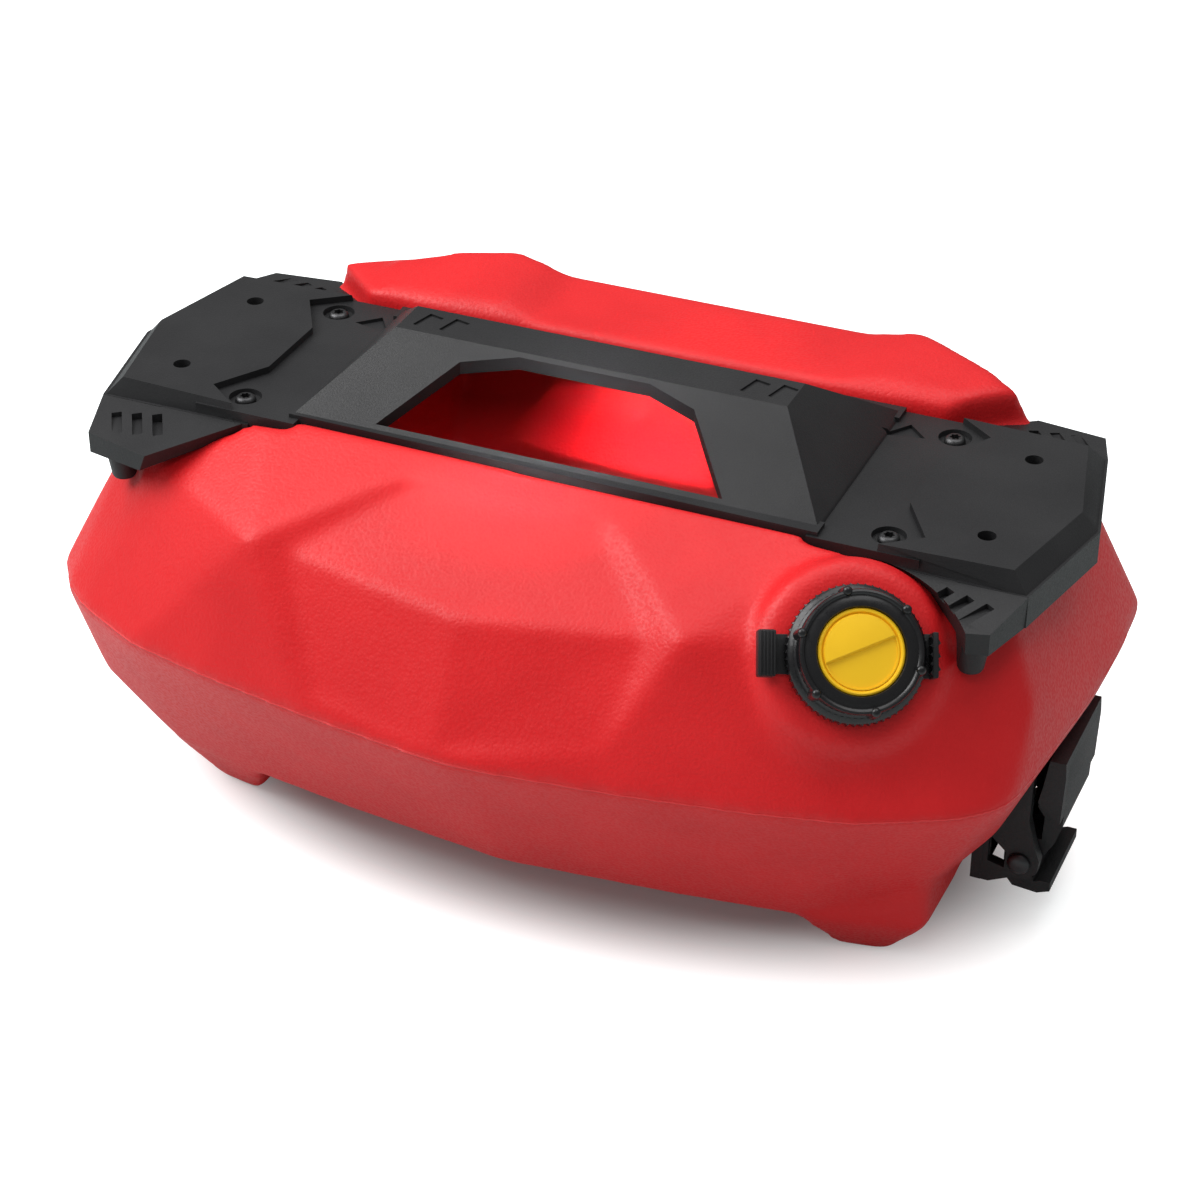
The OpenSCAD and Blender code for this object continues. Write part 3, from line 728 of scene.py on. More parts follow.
@dataclass
class Neck:
    """Frame of the filler neck: Z out of the tank, Y to the pawl, X down the slope.

    Attributes:
        root: Foot of the neck's axis.
        along: Direction of the axis.
        across: Direction from the thumb tab to the pawl.
        outer: Outside radius of the tube.
        bore: Inside radius of the tube.
        low: Height of its lower end.
        top: Height of its rim.
        pitch: Pitch of its thread.
        turns: Turns of its thread.
        thread_z: Height at which the thread starts.
        thread_r: Radius of the thread's section.
    """

    root: Point = (160.3, -96.2, 177.0)
    along: Point = (0.371454, -0.698603, 0.611527)
    across: Point = (0.882948, 0.469472, 0.0)
    outer: float = 20.0
    bore: float = 15.5
    low: float = 4.0
    top: float = 25.4
    pitch: float = 6.0
    turns: float = 1.5
    thread_z: float = 14.5
    thread_r: float = 0.75

    def place(self) -> Matrix:
        """Gives the place of the neck's frame.

        Returns:
            The matrix from the neck's frame to the model's.
        """
        z, y = Vector(self.along), Vector(self.across)
        turn = Matrix((y.cross(z), y, z)).transposed().to_4x4()
        return Matrix.Translation(self.root) @ turn

    def build(self) -> None:
        """Makes the threaded tube."""
        skin, lip, inner = self.outer - 0.4, self.outer - 1.2, self.bore + 0.6
        tube = turned([(self.bore, self.low), (skin, self.low), (skin, self.top - 0.8), (lip, self.top),
                       (inner, self.top), (self.bore, self.top - 0.6)])
        steps, middle = 70, self.outer - 0.3
        helix = []
        for i in range(steps + 1):
            turn = self.turns * i / steps
            a = 2 * math.pi * turn
            helix.append((middle * math.cos(a), middle * math.sin(a), self.thread_z + self.pitch * turn))
        thread = rod(helix, self.thread_r, 8)
        made = solid("neck_thread", [moved(tube, self.place()), moved(thread, self.place())])
        settle(made, RED_SHELL, "caddy")


@dataclass
class Tank:
    """The hollow moulded tank.

    Attributes:
        neck: Frame of its neck.
        belt_z: Height of its widest line.
        belly_z: Height of the belly's lower edge.
        top_z: Height of the flat top behind the deck.
        belt: Outline there of a full corner, from the end to the middle.
        belly: Lower outline of a full corner, from the middle to the end.
        cap_belt: Outline of the drawn-back corner under the cap.
        cap_belly: Lower outline of that corner.
        end_ridge: Edge that rises from each corner to the deck.
        deck_edge: Corners under the deck's edge at each end.
        lumps: Raised parts of the back shoulder, at the left and the right.
        plateau: Edge of the flat top behind the deck.
        shoulders: Front shoulder vertices, left and right of the sunk panels.
        crease: Line between the sunk panels, from left to right.
        panel_top: Upper corners of the sunk panels.
        panel_foot: Lower corners of the sunk panels, from left to right.
        sole: Outline of a foot's sole.
        foot_root: Outline of a foot where it leaves the belly.
        foot_root_z: Lower and upper height of that outline.
        trough_z: Height of the hand trough's floor.
        boss: Profile of the filler boss.
        skirt: Profile of the boss's skirt.
        skirt_drop: How far the skirt lies down the slope.
        pocket: Middle, half length, half width and height of a latch's pocket.
        dimple: Place of the dimple over a deck post.
        seat_z: Height of the seat's floor under the handle, the end plates and their rims.
        seat_top: Height that clears all that lies above the seat.
        voxel: Grid of the moulding pass.
        passes: Smoothing passes.
    """

    neck: Neck
    belt_z: float = 120.0
    belly_z: float = 28.0
    top_z: float = 217.0
    belt: tuple[Flat, ...] = (
        (246.8, 0), (247.6, 45), (246.2, 84), (231.5, 104.5), (216, 117), (178, 136.5), (134, 147), (78, 157),
        (24, 164), (0, 166.5))
    belly: tuple[Point, ...] = (
        (0, 110, belly_z), (83, 101.5, belly_z), (137, 94, belly_z), (188, 84, belly_z), (205, 62, belly_z),
        (200, 86, 40), (219, 96, 70), (231, 80, 72))
    cap_belt: tuple[Flat, ...] = (
        (245.8, 0), (243.8, 22), (241.8, 42), (239.2, 75), (236, 95), (229, 106), *belt[4:])
    cap_belly: tuple[Point, ...] = (
        *belly[:3], (182, 72, belly_z), (195, 28, belly_z), (205, 29, 41), (220, 55, 72), (208.5, 83.5, 72))
    end_ridge: tuple[Point, ...] = ((234.5, 66, 150), (225, 58, 171), (216, 50, 190))
    deck_edge: tuple[Point, ...] = (
        (183, -85.5, 186.5), (140, -62.5, 211.5), (216, 66, 193), (120, 63, top_z), (185, 63, 214))
    plateau: tuple[Flat, ...] = (
        (-44, 114.5), (5, 117.5), (57, 120), (113, 120.5), (136, 113.5), (158, 101), (180, 87), (194, 76))
    lumps: tuple[tuple[Point, ...], ...] = (
        ((-152, 92, 221), (-124, 109, 224), (-94, 122, 224), (-80, 119.5, 222.5), (-60, 116, 216),
         (-60, 64, 216), (-158, 64, 212), (-115, 126, 205), (-164, 85, 203), (-90, 128, 206),
         (-80, 70, 221), (-142, 70, 219)),
        ((78, 117, 215), (119, 121.5, 222.6), (133, 114, 222.8), (160, 98.5, 221.8), (176, 87.5, 219),
         (189, 76, 210), (78, 64, 215), (186, 64, 212), (120, 127, 205), (180, 92, 204),
         (165, 70, 220), (112, 72, 220)))
    shoulders: tuple[Point, Point] = ((-116.8, -124.8, 185.5), (93, -124.6, 185.5))
    crease: tuple[Point, Point, Point] = ((-100.1, -119.4, 180.7), (-8.5, -133, 175.2), (76.1, -120.5, 180.2))
    panel_top: tuple[Point, Point] = ((-56.4, -76, 203.2), (35.6, -75.8, 203.3))
    panel_foot: tuple[Point, Point, Point] = ((-71.8, -153.5, 128), (-8, -164, 123), (66.7, -150.9, 135.6))
    sole: tuple[Flat, ...] = ((152.5, 72), (175.5, 68), (180.5, 43.5), (152.5, 43.5))
    foot_root: tuple[Flat, ...] = ((139, 94), (197.5, 80), (198.5, 28.5), (139, 28.5))
    foot_root_z: Flat = (belly_z, 54.0)
    trough_z: float = 150.0
    boss: tuple[Flat, ...] = (
        (0, -16), (44, -16), (44, -2), (43.6, 2), (42.5, 5.2), (40.5, 7.8), (37.5, 9.5), (34, 10), (0, 10))
    skirt: tuple[Flat, ...] = ((0, -20), (56, -20), (50, -10), (45, -3), (41, 3), (0, 5))
    skirt_drop: float = 9.0
    pocket: tuple[float, ...] = (232.0, 29.0, 34.0, 102.0)
    dimple: Point = (209.0, 80.0, 180.0)
    seat_z: Point = (204.6, 199.0, 188.0)
    seat_top: float = 260.0
    voxel: float = 2.6
    passes: int = 7

    def skin(self) -> list[Point]:
        """Lists the corners of the faceted body.

        Returns:
            The corners.
        """
        spots: list[Point] = []
        for sx in SIDES:
            for sy in SIDES:
                belt, belly = (self.cap_belt, self.cap_belly) if sx > sy else (self.belt, self.belly)
                spots += [(sx * x, sy * y, self.belt_z) for x, y in belt]
                spots += [(sx * x, sy * y, z) for x, y, z in (*belly, *self.end_ridge)]
            spots += [(sx * x, y, z) for x, y, z in self.deck_edge]
        spots += [(x, y, self.top_z) for x, y in self.plateau]
        spots += [(-x, y, self.top_z) for x, y in self.plateau[2:]]
        spots += [*self.shoulders, self.crease[1]]
        return spots

    def sunk_panels(self) -> list[Part]:
        """Makes the tools that sink the front panels between the shoulders.

        Returns:
            One tool above the crease and two below it.
        """
        reach, lean = 16, 2.5
        up, out = Vector((0, -0.4, 0.92)) * reach, Vector((0, -0.9, 0.43)) * reach
        left, middle, right = (Vector(p) for p in self.crease)
        head_left, head_right = (Vector(p) for p in self.panel_top)
        foot_left, foot_middle, foot_right = (Vector(p) for p in self.panel_foot)
        flank_left = left + lean * (Vector(self.shoulders[0]) - left)
        flank_right = right + lean * (Vector(self.shoulders[1]) - right)
        above = [head_left, head_right, left, middle, right]
        raised = [p + up for p in above] + [p + out for p in (left, middle, right)]
        tools = [above + raised + [flank_left, flank_right]]
        for end, flank, foot in ((left, flank_left, foot_left), (right, flank_right, foot_right)):
            below = [end, middle, foot, foot_middle]
            tools.append(below + [p + out for p in below] + [p + up for p in (end, middle)] + [flank])
        return [hull([tuple(p) for p in tool]) for tool in tools]

    def deck_seat(self) -> list[Part]:
        """Makes the tools that clear the deck's seat.

        Returns:
            The tools.
        """
        handle_z, end_z, rim_z = self.seat_z
        handle = ((-133, -58.2), (133, -61.8), (133, 63.4), (-133, 63.4))
        end = ((126, -64), (151, -64), (187, -98), (221, -91), (231, -63), (243.5, 0),
               (231, 63), (221, 91), (187, 98), (151, 64), (126, 64))
        rim = tuple((max(x, 188.0), y) for x, y in end if x > 150)
        tools = [prism(handle, handle_z, self.seat_top)]
        for flip in (Matrix.Identity(4), FLIP_X):
            tools.append(moved(prism(end, end_z, self.seat_top), flip))
            tools.append(moved(prism(rim, rim_z, self.seat_top), flip))
        return tools

    def feet(self) -> list[Part]:
        """Makes the four moulded feet.

        Returns:
            The feet.
        """
        spots = [(x, y, 0.0) for x, y in self.sole]
        spots += [(x, y, z) for z in self.foot_root_z for x, y in self.foot_root]
        return [hull([(sx * x, sy * y, z) for x, y, z in spots]) for sx in SIDES for sy in SIDES]

    def hollows(self) -> list[Part]:
        """Makes the tools of the trough, the neck's bore, the latch pockets and the dimples.

        Returns:
            The tools.
        """
        trough = ((95, -53, 232), (95, 50, 232), (93, -52, 204), (93, 49, 204), (76, -42, self.trough_z),
                  (78, -6, self.trough_z + 4), (88, 38, self.trough_z + 38))
        bore = self.neck.bore + 1
        tools = [hull([(sx * x, y, z) for sx in SIDES for x, y, z in trough]),
                 moved(drum(bore, bore, -45, 12), self.neck.place())]
        middle, length, width, high = self.pocket
        for sx in SIDES:
            tools.append(block((sx * middle - length, -width, -2), (sx * middle + length, width, high)))
        x, y, z = self.dimple
        tools += [moved(drum(8.2, 9.5, -8, 20), at(sx * x, sy * y, z)) for sx in SIDES for sy in SIDES]
        return tools

    def build(self) -> None:
        """Moulds the tank."""
        made = solid("tank_shell", [hull(self.skin())])
        work(made, self.sunk_panels(), Joinery.CUT)
        work(made, [hull(lump) for lump in self.lumps] + self.feet(), Joinery.FUSE)
        work(made, self.deck_seat(), Joinery.CUT)
        skirt_place = self.neck.place() @ at(self.skirt_drop, 0, 0)
        work(made, [moved(turned(self.boss, 64, False), self.neck.place()),
                    moved(turned(self.skirt, 64, False), skirt_place)], Joinery.FUSE)
        work(made, self.hollows(), Joinery.CUT)
        grid = made.modifiers.new("mould", "REMESH")
        grid.mode = "VOXEL"
        grid.voxel_size = self.voxel
        apply_modifiers(made)
        self._relax(made)
        settle(made, RED_SHELL, "caddy", ("tank",), 180.0)

    def _relax(self, made: Thing) -> None:
        """Rounds every edge as a moulding does.

        Args:
            made: Tank to smooth.
        """
        part = bmesh.new()
        part.from_mesh(made.data)
        for _ in range(self.passes):
            bmesh.ops.smooth_vert(part, verts=part.verts, factor=0.5,
                                  use_axis_x=True, use_axis_y=True, use_axis_z=True)
        part.to_mesh(made.data)
        part.free()


@dataclass
class Deck:
    """The bolted carrying deck: two end plates and the handle between them.

    Attributes:
        neck: Frame of the neck that it makes room for.
        pad_z: Height of the pads.
        shelf_z: Height of the screw shelves.
        seat_z: Height of its underside on the tank.
        rim_z: Height of the rim's foot.
        grip_z: Height of the grip.
        pad: Outline of a pad's top.
        pad_foot: Outline of its foot.
        rim: Outline of the rim under it.
        ledge: Corners of a corner ledge.
        post: Place of a corner post.
        bolt: Place of a stacking bolt.
        bolt_r: Radius of its hole.
        screw: Place of a deck screw.
        recess: Depth of the recess that carries its head.
        opening: Outline of the finger opening.
        soft: Rounding of the edges.
    """

    neck: Neck
    pad_z: float = 214.0
    shelf_z: float = 210.6
    seat_z: float = 200.2
    rim_z: float = 190.0
    grip_z: float = 242.6
    pad: tuple[Flat, ...] = ((159, -61), (219, -58.5), (232.5, 0), (219, 58.5), (159, 61),
                             (176, 48), (160.5, 22), (160.5, -22), (176, -48))
    pad_foot: tuple[Flat, ...] = ((158, -62.5), (227.5, -64), (241.3, 0), (227.5, 64), (158, 62.5),
                                  (176.3, 48.2), (160.2, 22), (160.2, -22), (176.3, -48.2))
    rim: tuple[Flat, ...] = ((196, -64), (227.5, -64), (241.3, 0), (227.5, 64), (196, 64))
    ledge: tuple[Point, ...] = (
        (227.5, 63.9, 205.5), (219.3, 91.5, 200.8), (185, 98.6, 199.2), (152, 62, 205.5), (227.5, 62, 190),
        (219.3, 91.5, 190.2), (189, 97.6, 190.2), (189, 62, 190.2), (152, 61, 200.4))
    post: Point = (209.0, 80.0, 182.0)
    bolt: Flat = (200.0, 36.0)
    bolt_r: float = 4.2
    screw: Flat = (159.4, 47.3)
    recess: float = 2.6
    opening: tuple[Flat, ...] = (
        (-88, -52.5), (83.5, -52.5), (56.5, -19.5), (32, -12.8), (-33, -12.8), (-60, -19.8))
    soft: float = 0.9

    def end_plate(self) -> list[Part]:
        """Makes the solids of the right end plate.

        Returns:
            The solids.
        """
        shelf = ((126, -62), (178, -62), (178, 62), (126, 62))
        plate = ((150, -63), *self.rim[1:4], (150, 63))
        made = [prism(self.pad_foot, self.seat_z + 4, self.pad_z, self.pad),
                prism(shelf, self.seat_z, self.shelf_z),
                prism(plate, self.seat_z, self.seat_z + 5.3),
                prism(self.rim, self.rim_z, self.seat_z + 5.4)]
        post_x, post_y, post_z = self.post
        for sy in SIDES:
            made.append(hull([(x, sy * y, z) for x, y, z in self.ledge]))
            made.append(moved(drum(5.6, 8.6, -8, 12, 24, 1.6), at(post_x, sy * post_y, post_z)))
        return made

    def handle(self) -> list[Part]:
        """Makes the solids of the handle.

        Returns:
            The solids.
        """
        hump = ((97.5, -10.6, self.grip_z), (97.5, 12.8, self.grip_z), (129, -55, 212.4), (129, 58, 212.4),
                (132, -57.2, 206), (132, 61, 206))
        front_rail = ((-131, -57), (131, -60.6), (131, -51), (-131, -51))
        return [hull([(sx * x, y, z) for sx in SIDES for x, y, z in hump]),
                prism(front_rail, 205.2, 212.6),
                block((-131, 51, 205.2), (131, 62, 212.8))]

    def hollows(self) -> list[Part]:
        """Makes the tools of the handle's inside and its finger opening.

        Returns:
            The tools.
        """
        inside = ((93, -8.0, 237.8), (93, 10.4, 237.8), (120, -48.5, 211), (120, 52, 211),
                  (121, -49.5, 195), (121, 53, 195))
        return [hull([(sx * x, y, z) for sx in SIDES for x, y, z in inside]),
                prism(self.opening, 196, 260)]

    def pockets(self) -> list[Part]:
        """Makes the tools of the holes, recesses and grip grooves.

        Returns:
            The tools.
        """
        bolt_x, bolt_y = self.bolt
        screw_x, screw_y = self.screw
        mark = ((-1.2, -6.5), (1.2, -6.5), (1.2, 4.6), (6.8, 4.6), (6.8, 6.8), (-1.2, 6.8))
        tools = []
        for sx in SIDES:
            for sy in SIDES:
                hole = drum(self.bolt_r, self.bolt_r, -9, 6, 32)
                tools.append(moved(hole, at(sx * bolt_x, sy * bolt_y, self.pad_z)))
                recess = drum(7.6, 8.2, -self.recess, 4, 40)
                tools.append(moved(recess, at(sx * screw_x, sy * screw_y, self.shelf_z)))
                for k in range(3):
                    groove = hull([(x, y, z) for x in (-2.4, 2.4) for y in (-8, 8) for z in (-0.9, 6)])
                    spot = at(sx * (210 - 9.6 * k), sy * (81 - 2.4 * k), 202.2 - 0.5 * k, sx * sy * 31)
                    tools.append(moved(groove, spot))
            tools.append(prism([(sx * 127, 37), (sx * 147, 41), (sx * 137, 51)][::sx], 208.9, 230))
            for k in range(2):
                spot = at(sx * 82 + 13.5 * (k - 0.5), 1.2, self.grip_z, -14)
                tools.append(moved(prism(mark, -1.0, 4), spot))
        tools.append(moved(drum(44.8, 44.8, -30, 80, 96), self.neck.place()))
        return tools

    def build(self) -> None:
        """Makes the deck."""
        hump, *rails = self.handle()
        inside, opening = self.hollows()
        made = solid("deck_shell", [hump])
        work(made, [inside], Joinery.CUT)
        ends = self.end_plate() + [moved(p, FLIP_X) for p in self.end_plate()]
        work(made, rails + ends, Joinery.FUSE)
        work(made, [opening] + self.pockets(), Joinery.CUT)
        round_edges(made, self.soft)
        settle(made, BLACK_DECK, "caddy", ("deck",), 38.0)
        even_normals(made)


@dataclass
class Cap:
    """The locking screw cap: collar, stopper and sliding lock ring.

    Attributes:
        neck: Frame of the neck.
        teeth: Ratchet teeth round the collar.
        nubs: Grip nubs round the collar.
        nub_turn: Angle of the first nub.
        nub_at: Distance of a nub from the axis.
        ratchet: Radius of the ratchet's tips.
        disc: Radius of the stopper's disc.
        disc_turn: Turn of the step across the disc.
        ring_turn: Turn of the lock ring.
    """

    neck: Neck
    teeth: int = 60
    nubs: int = 6
    nub_turn: float = 10.0
    nub_at: float = 26.1
    ratchet: float = 30.7
    disc: float = 18.4
    disc_turn: float = 19.0
    ring_turn: float = -3.5

    def build(self) -> None:
        """Makes the three moving pieces."""
        self.collar()
        self.stopper()
        self.lock_ring()

    def collar(self) -> None:
        """Makes the screw collar with its ratchet and nubs."""
        profile = [
            (20.5, 14.0), (20.5, 29.2), (19.2, 29.5), (18.85, 29.9), (18.85, 32.5), (19.2, 32.95),
            (22.6, 33.0), (23.2, 32.5), (23.9, 32.45), (24.5, 33.1), (25.3, 33.4), (26.2, 33.0),
            (26.6, 32.1), (26.5, 31.0), (26.0, 30.1), (25.8, 28.0), (25.8, 21.6), (26.2, 20.8),
            (27.2, 20.2), (29.4, 18.9), (29.8, 18.2), (29.8, 14.2), (29.4, 13.7), (20.9, 13.7)]
        tooth = ((29.5, -0.95, 14.0), (29.5, 0.75, 14.0), (self.ratchet, 0.55, 14.2), (29.3, -0.55, 18.8),
                 (29.3, 1.15, 18.8), (30.4, 0.95, 17.8), (27.4, -0.2, 20.3), (27.4, 1.2, 20.3))
        parts = [turned(profile, 120)]
        for k in range(self.teeth):
            turn = Matrix.Rotation(2 * math.pi * k / self.teeth, 4, "Z")
            parts.append(moved(hull(tooth), turn))
        web = [(x, y, z) for x, half in ((25.2, 4.2), (27.2, 1.8)) for y in (-half, half) for z in (22, 31.6)]
        for k in range(self.nubs):
            turn = Matrix.Rotation(math.radians(self.nub_turn + 360 * k / self.nubs), 4, "Z")
            parts.append(moved(drum(2.5, 2.2, 20.8, 32.4, 20), turn @ at(self.nub_at, 0, 0)))
            parts.append(moved(ball(2.2, (self.nub_at, 0, 32.4), 12), turn))
            parts.append(moved(hull(web, 0.5), turn))
        made = solid("cap_collar", [moved(p, self.neck.place()) for p in parts])
        settle(made, BLACK_COLLAR, "collar", ("collar",), 42.0)

    def stopper(self) -> None:
        """Makes the stopper: plug, flange and a disc with one raised half."""
        r = self.disc
        body = turned([
            (0, 30.9), (r - 2.2, 30.9), (r - 1.9, 31.2), (r - 1.4, 32.1), (r - 0.7, 32.25), (r, 31.8),
            (r, 29.3), (20.0, 29.0), (20.0, 26.7), (15.0, 26.5), (15.0, 20.6), (12.7, 20.5), (12.7, 25.9),
            (0, 25.9)], 96, False)
        arc = [math.radians(a) for a in range(90, 271, 6)]
        edge = r - 2.3
        low = [(edge * math.cos(a), edge * math.sin(a)) for a in arc]
        high = [(min(x, -0.1) - 1.1 if abs(x) < 1 else x * 0.975, y * 0.975) for x, y in low]
        half = prism(low, 30.6, 32.5, high, 0.25)
        fence = turned([(edge, 30.8), (edge, 31.6), (r - 2.9, 31.6), (r - 2.9, 30.8)], 96)
        turn = Matrix.Rotation(math.radians(self.disc_turn), 4, "Z")
        made = solid("cap_stopper", [moved(p, self.neck.place() @ turn) for p in (body, half, fence)])
        settle(made, YELLOW_STOPPER, "stopper", ("stopper",), 32.0)

    def lock_ring(self) -> None:
        """Makes the sliding ring with its ribbed thumb tab and toothed pawl."""
        low = 10.5
        ring = [(22.8, low), (28.6, low), (29.0, 10.9), (29.0, 12.7), (28.6, 13.1), (22.8, 13.1)]
        parts = [turned(ring, 96), block((-8.5, -37, low), (8.5, -26, 13.2), 0.4),
                 block((-10, -42, low), (10, -34.2, 19.0), 0.9)]
        for k in range(5):
            parts.append(block((-9.4, -41.2 + 1.5 * k, 18.7), (9.4, -40.4 + 1.5 * k, 19.6), 0.2))
        parts += [block((-9.5, 26, low), (9.5, 34, 13.2), 0.4),
                  block((-9.8, 32.0, low), (9.8, 34.6, 21.0), 0.6)]
        tip = ((-0.2, 32.2), (2.2, 32.2), (1.0, 31.3))
        notch = ((-0.4, 34.4), (2.4, 34.4), (1.6, 35.6))
        for count, first, pitch, plan, foot in ((5, -8.8, 3.8, tip, 13.6), (3, -6.6, 5.6, notch, 12.5)):
            for k in range(count):
                parts.append(hull([(first + pitch * k + x, y, z) for x, y in plan for z in (foot, 20.4)]))
        turn = Matrix.Rotation(math.radians(self.ring_turn), 4, "Z")
        made = solid("cap_lock_ring", [moved(p, self.neck.place() @ turn) for p in parts])
        settle(made, BLACK_LOCK, "lock_ring", ("lock_ring",), 40.0)


@dataclass
class Latch:
    """One end latch: frame, sprung lever, pin, spring and screws.

    Attributes:
        side: End that it is at.
        pivot: Place of the pivot in X and Z.
        half: Half width of the lever.
        back: Place of the pocket's back wall.
        out: Place of the lever's outer face.
        tip_z: Height of the frame's foot.
        top_z: Height of the frame's top.
        screw: Place of a screw in Y and Z.
    """

    side: Side
    pivot: Flat = (226.0, 40.0)
    half: float = 23.0
    back: float = 203.0
    out: float = 244.0
    tip_z: float = 25.2
    top_z: float = 99.0
    screw: Flat = (16.0, 82.0)

    def flip(self) -> Matrix:
        """Gives the matrix that mirrors the right latch onto its side."""
        return Matrix.Identity(4) if self.side is Side.RIGHT else FLIP_X

    def named(self, words: str) -> str:
        """Gives the full name of one of its nodes or pieces."""
        return f"{self.side.value}_latch_{words}"

    def build(self) -> None:
        """Makes the pieces of the latch."""
        self.frame_piece()
        self.lever()
        self.pin()
        self.spring()
        self.screws()

    def _settle(self, name: str, made: Thing, finish: Finish, body: str, sharp: float) -> None:
        """Settles a piece of the latch in place of its node.

        Args:
            name: Last word of the node's name.
            made: Object in millimetres.
            finish: Its finish.
            body: Body that it rides on.
            sharp: Angle over which an edge stays crisp.
        """
        settle(made, finish, body, (self.named(name),), sharp)
        even_normals(made)

    def _mould(self, name: str, made: Thing, body: str, width: float) -> None:
        """Rounds a moulded piece, mirrors it to its side and settles it.

        Args:
            name: Last word of the node's name.
            made: Object in millimetres, drawn at the right end.
            body: Body that it rides on.
            width: Width of the rounding.
        """
        round_edges(made, width)
        made.data.transform(self.flip())
        face_outwards(made)
        self._settle(name, made, BLACK_LATCH, body, 38.0)

    def frame_piece(self) -> None:
        """Makes the fixed frame with its two cheeks."""
        x, z = self.pivot
        back, foot, top = self.back, self.tip_z, self.top_z
        plate = block((back + 0.3, -30, foot), (back + 5.2, 30, top))
        made = solid(self.named("frame_piece"), [plate])
        outline = ((back + 1, foot), (back + 9, foot), (x - 3, z - 9.4), (x + 4, z - 8.6), (x + 8.6, z - 4),
                   (x + 9.4, z + 3), (x + 7, z + 9), (back + 26, z + 24), (back + 26.5, 88), (back + 20, top),
                   (back + 1, top))
        hole = ((back + 8, z - 3), (x - 7, z - 5), (x - 6.5, z + 4), (back + 8, z + 12))
        cheeks, windows = [], []
        for sy in SIDES:
            low, high = sorted((sy * 24.2, sy * 29.8))
            cheeks.append(side_slab(outline, low, high))
            windows.append(side_slab(hole, low - 2, high + 2))
            cheeks.append(moved(block((-4.9, -1.2, -30), (0, 1.2, 22)), at(back + 9.5, sy * 12, 70)))
        work(made, cheeks, Joinery.FUSE)
        work(made, windows, Joinery.CUT)
        self._mould("frame", made, "caddy", 0.8)

    def lever(self) -> None:
        """Makes the lever with its hook, ribs and finger lip."""
        x, z = self.pivot
        out = self.out
        lip = ((out, 92.5), (out - 0.5, 100.4), (out - 8, 100.4), (out - 10, z + 46))
        outline = ((x - 9, z - 4), (x - 8, z - 14), (x - 4, z - 19), (x + 8, z - 20), (x + 14, z - 17.5),
                   (x + 14, z - 12.6), (x + 9.5, z - 12.6), (x + 6, z - 14), (x + 4, z - 9), (x + 9, z + 1),
                   (out - 4, z + 10), (out - 1, z + 20), *lip, (out - 13, z + 30), (x + 3, z + 16),
                   (x - 6, z + 8), (x - 9, z + 3))
        made = solid(self.named("lever_piece"), [side_slab(outline, -self.half, self.half)])
        wing = ((out - 11.8, z + 36), (out - 0.8, z + 27), *lip)
        work(made, [side_slab(wing, -29.9, 29.9)], Joinery.FUSE)
        axis = at(x, 0, z, 90, "X")
        cuts = [moved(drum(11, 11, -8, 8, 40), axis),
                block((x + 2, -16, z + 20), (out - 6.5, 16, z + 44)),
                moved(drum(4.5, 4.5, -30, -17, 32), axis),
                moved(drum(4.5, 4.5, 17, 30, 32), axis)]
        waist = ((x - 12, z + 11), (x + 8, z + 11), (out - 9.5, z + 24), (out - 14, z + 30))
        for sy in SIDES:
            cuts.append(side_slab(waist, *sorted((sy * 9.5, sy * 30))))
        work(made, cuts, Joinery.CUT)
        self._mould("lever", made, f"{self.side.value}_lever", 0.9)

    def pin(self) -> None:
        """Makes the pivot pin with its domed heads."""
        reach = 30.0
        head = ((0, 3.1), (3.2, 3.0), (4.8, 2.2), (5.4, 1.2), (5.4, 0.3), (2.98, 0.2))
        profile = [(r, -reach - z) for r, z in head] + [(r, reach + z) for r, z in reversed(head)]
        place = self.flip() @ at(self.pivot[0], 0, self.pivot[1], 90, "X")
        made = solid(self.named("pin_piece"), [moved(turned(profile, 48, False), place)])
        self._settle("pin", made, DARK_STEEL, "caddy", 40.0)

    def spring(self) -> None:
        """Makes the torsion spring, one wire from leg to leg."""
        coil, wire, turns, rise, steps = 4.3, 0.95, 4, 2.05, 20
        top = turns * rise / 2
        path = [(coil, 12.5, top), (coil, 6.0, top)]
        for i in range(turns * steps + 11):
            a = -2 * math.pi * i / steps
            path.append((coil * math.cos(a), coil * math.sin(a), top - rise * i / steps))
        x, y, z = path[-1]
        path += [(x - 2.0, y + 2.6, z), (x - 8.0, y + 9.4, z)]
        place = self.flip() @ at(self.pivot[0], 0, self.pivot[1], 90, "X")
        made = solid(self.named("spring_piece"), [moved(rod(path, wire, 10), place)])
        face_outwards(made)
        self._settle("spring", made, BRIGHT_STEEL, "caddy", 60.0)

    def screws(self) -> None:
        """Makes the two screws of the frame."""
        y, z = self.screw
        parts = []
        for sy in SIDES:
            place = self.flip() @ at(self.back + 5.3, sy * y, z, 90, "Y")
            parts += [moved(p, place) for p in button_screw(4.4, 2.8, 2.0, 17)]
        made = solid(self.named("screw_set"), parts)
        self._settle("screws", made, DARK_STEEL, "caddy", 40.0)


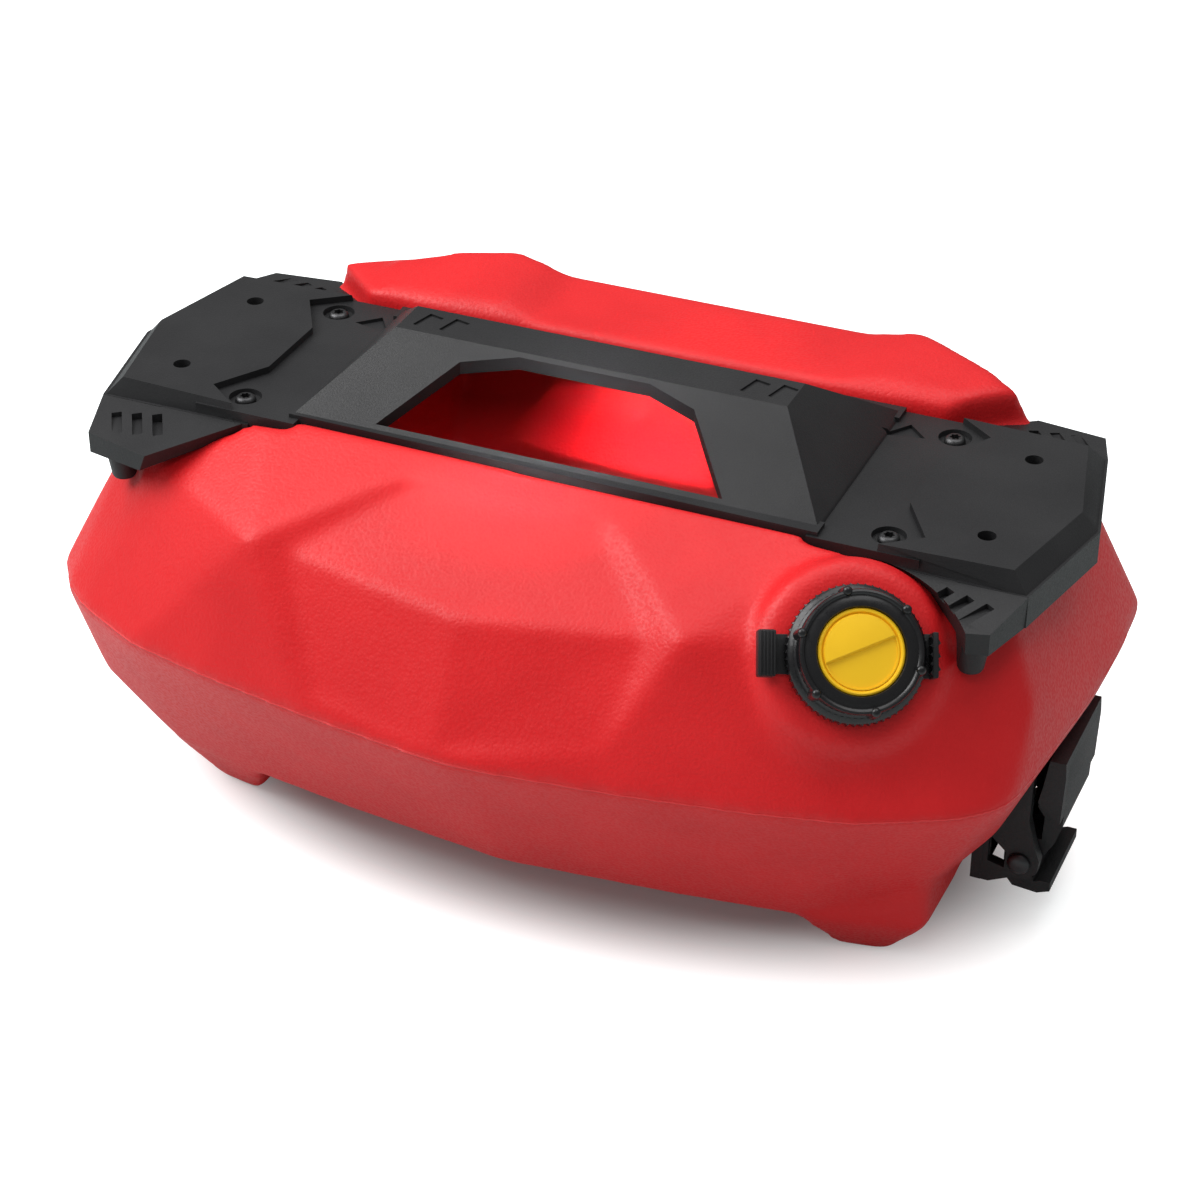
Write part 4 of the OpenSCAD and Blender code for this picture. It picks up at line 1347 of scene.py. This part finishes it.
def button_screw(head: float, rise: float, shank: float, length: float) -> list[Part]:
    """Makes a button-head screw with a six-lobe socket, head up from Z 0.

    Args:
        head: Radius of the head.
        rise: Height of the head.
        shank: Radius of the shank.
        length: Length under the head.

    Returns:
        The screw's parts.
    """
    steps = 48
    angles = [2 * math.pi * k / steps for k in range(steps)]
    lobes = []
    for a in angles:
        r = 0.52 * head * (0.86 + 0.14 * math.cos(6 * a))
        lobes.append((r * math.cos(a), r * math.sin(a)))
    circle = [(0.64 * head * math.cos(a), 0.64 * head * math.sin(a)) for a in angles]
    body = turned([
        (0, 0.25 * rise), (0.62 * head, 0.25 * rise), (0.62 * head, rise), (0.75 * head, 0.94 * rise),
        (0.92 * head, 0.66 * rise), (head, 0.3 * rise), (head, 0.08 * rise), (0.97 * head, 0),
        (shank, 0), (shank, -length), (0.6 * shank, -length - 1), (0, -length - 1)], steps, False)
    crown = bmesh.new()
    levels = ((circle, rise), (lobes, rise + 0.02), (lobes, 0.3 * rise), (circle, 0.2 * rise))
    rims = [[crown.verts.new((x, y, z)) for x, y in plan] for plan, z in levels]
    loops = [[crown.edges.new((a, b)) for a, b in zip(rim, rim[1:] + rim[:1])] for rim in rims]
    for a, b in ((0, 1), (1, 2), (0, 3)):
        bmesh.ops.bridge_loops(crown, edges=loops[a] + loops[b])
    crown.faces.new(rims[2])
    crown.faces.new(rims[3])
    bmesh.ops.recalc_face_normals(crown, faces=crown.faces[:])
    return [body, crown]


@dataclass
class Hardware:
    """Deck screws, and finishes of the nodes that stay as they are.

    Attributes:
        deck: Deck that the screws hold.
        plain: Finish of each node that keeps its CAD shape.
    """

    deck: Deck
    plain: tuple[tuple[str, Finish], ...] = (
        ("deck_inserts", BRASS), ("anchor_nuts", ZINC), ("gasket", RUBBER), ("lock_spring", BRIGHT_STEEL),
        ("right_latch_inserts", BRASS), ("left_latch_inserts", BRASS))

    def build(self) -> None:
        """Makes the deck screws and dresses the plain nodes."""
        x, y = self.deck.screw
        seat = self.deck.shelf_z - self.deck.recess + 0.1
        parts = []
        for sx in SIDES:
            for sy in SIDES:
                place = at(sx * x, sy * y, seat, 15 * sx + 8 * sy)
                parts += [moved(p, place) for p in button_screw(5.0, 3.0, 2.45, 17)]
        settle(solid("deck_screw_set", parts), DARK_STEEL, "caddy", ("deck_screws",))
        for node, finish in self.plain:
            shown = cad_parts[node]
            shown.data.materials.clear()
            shown.data.materials.append(finish.material())
            log.info("%s dressed as %s", node, finish.name)


def main() -> None:
    """Builds the scene in order and reports each piece."""
    logging.basicConfig(level=logging.INFO, format="%(name)s: %(message)s")
    Studio().build()
    neck = Neck()
    neck.build()
    Tank(neck).build()
    deck = Deck(neck)
    deck.build()
    Cap(neck).build()
    for side in Side:
        Latch(side).build()
    Hardware(deck).build()


if __name__ == "__main__":
    main()
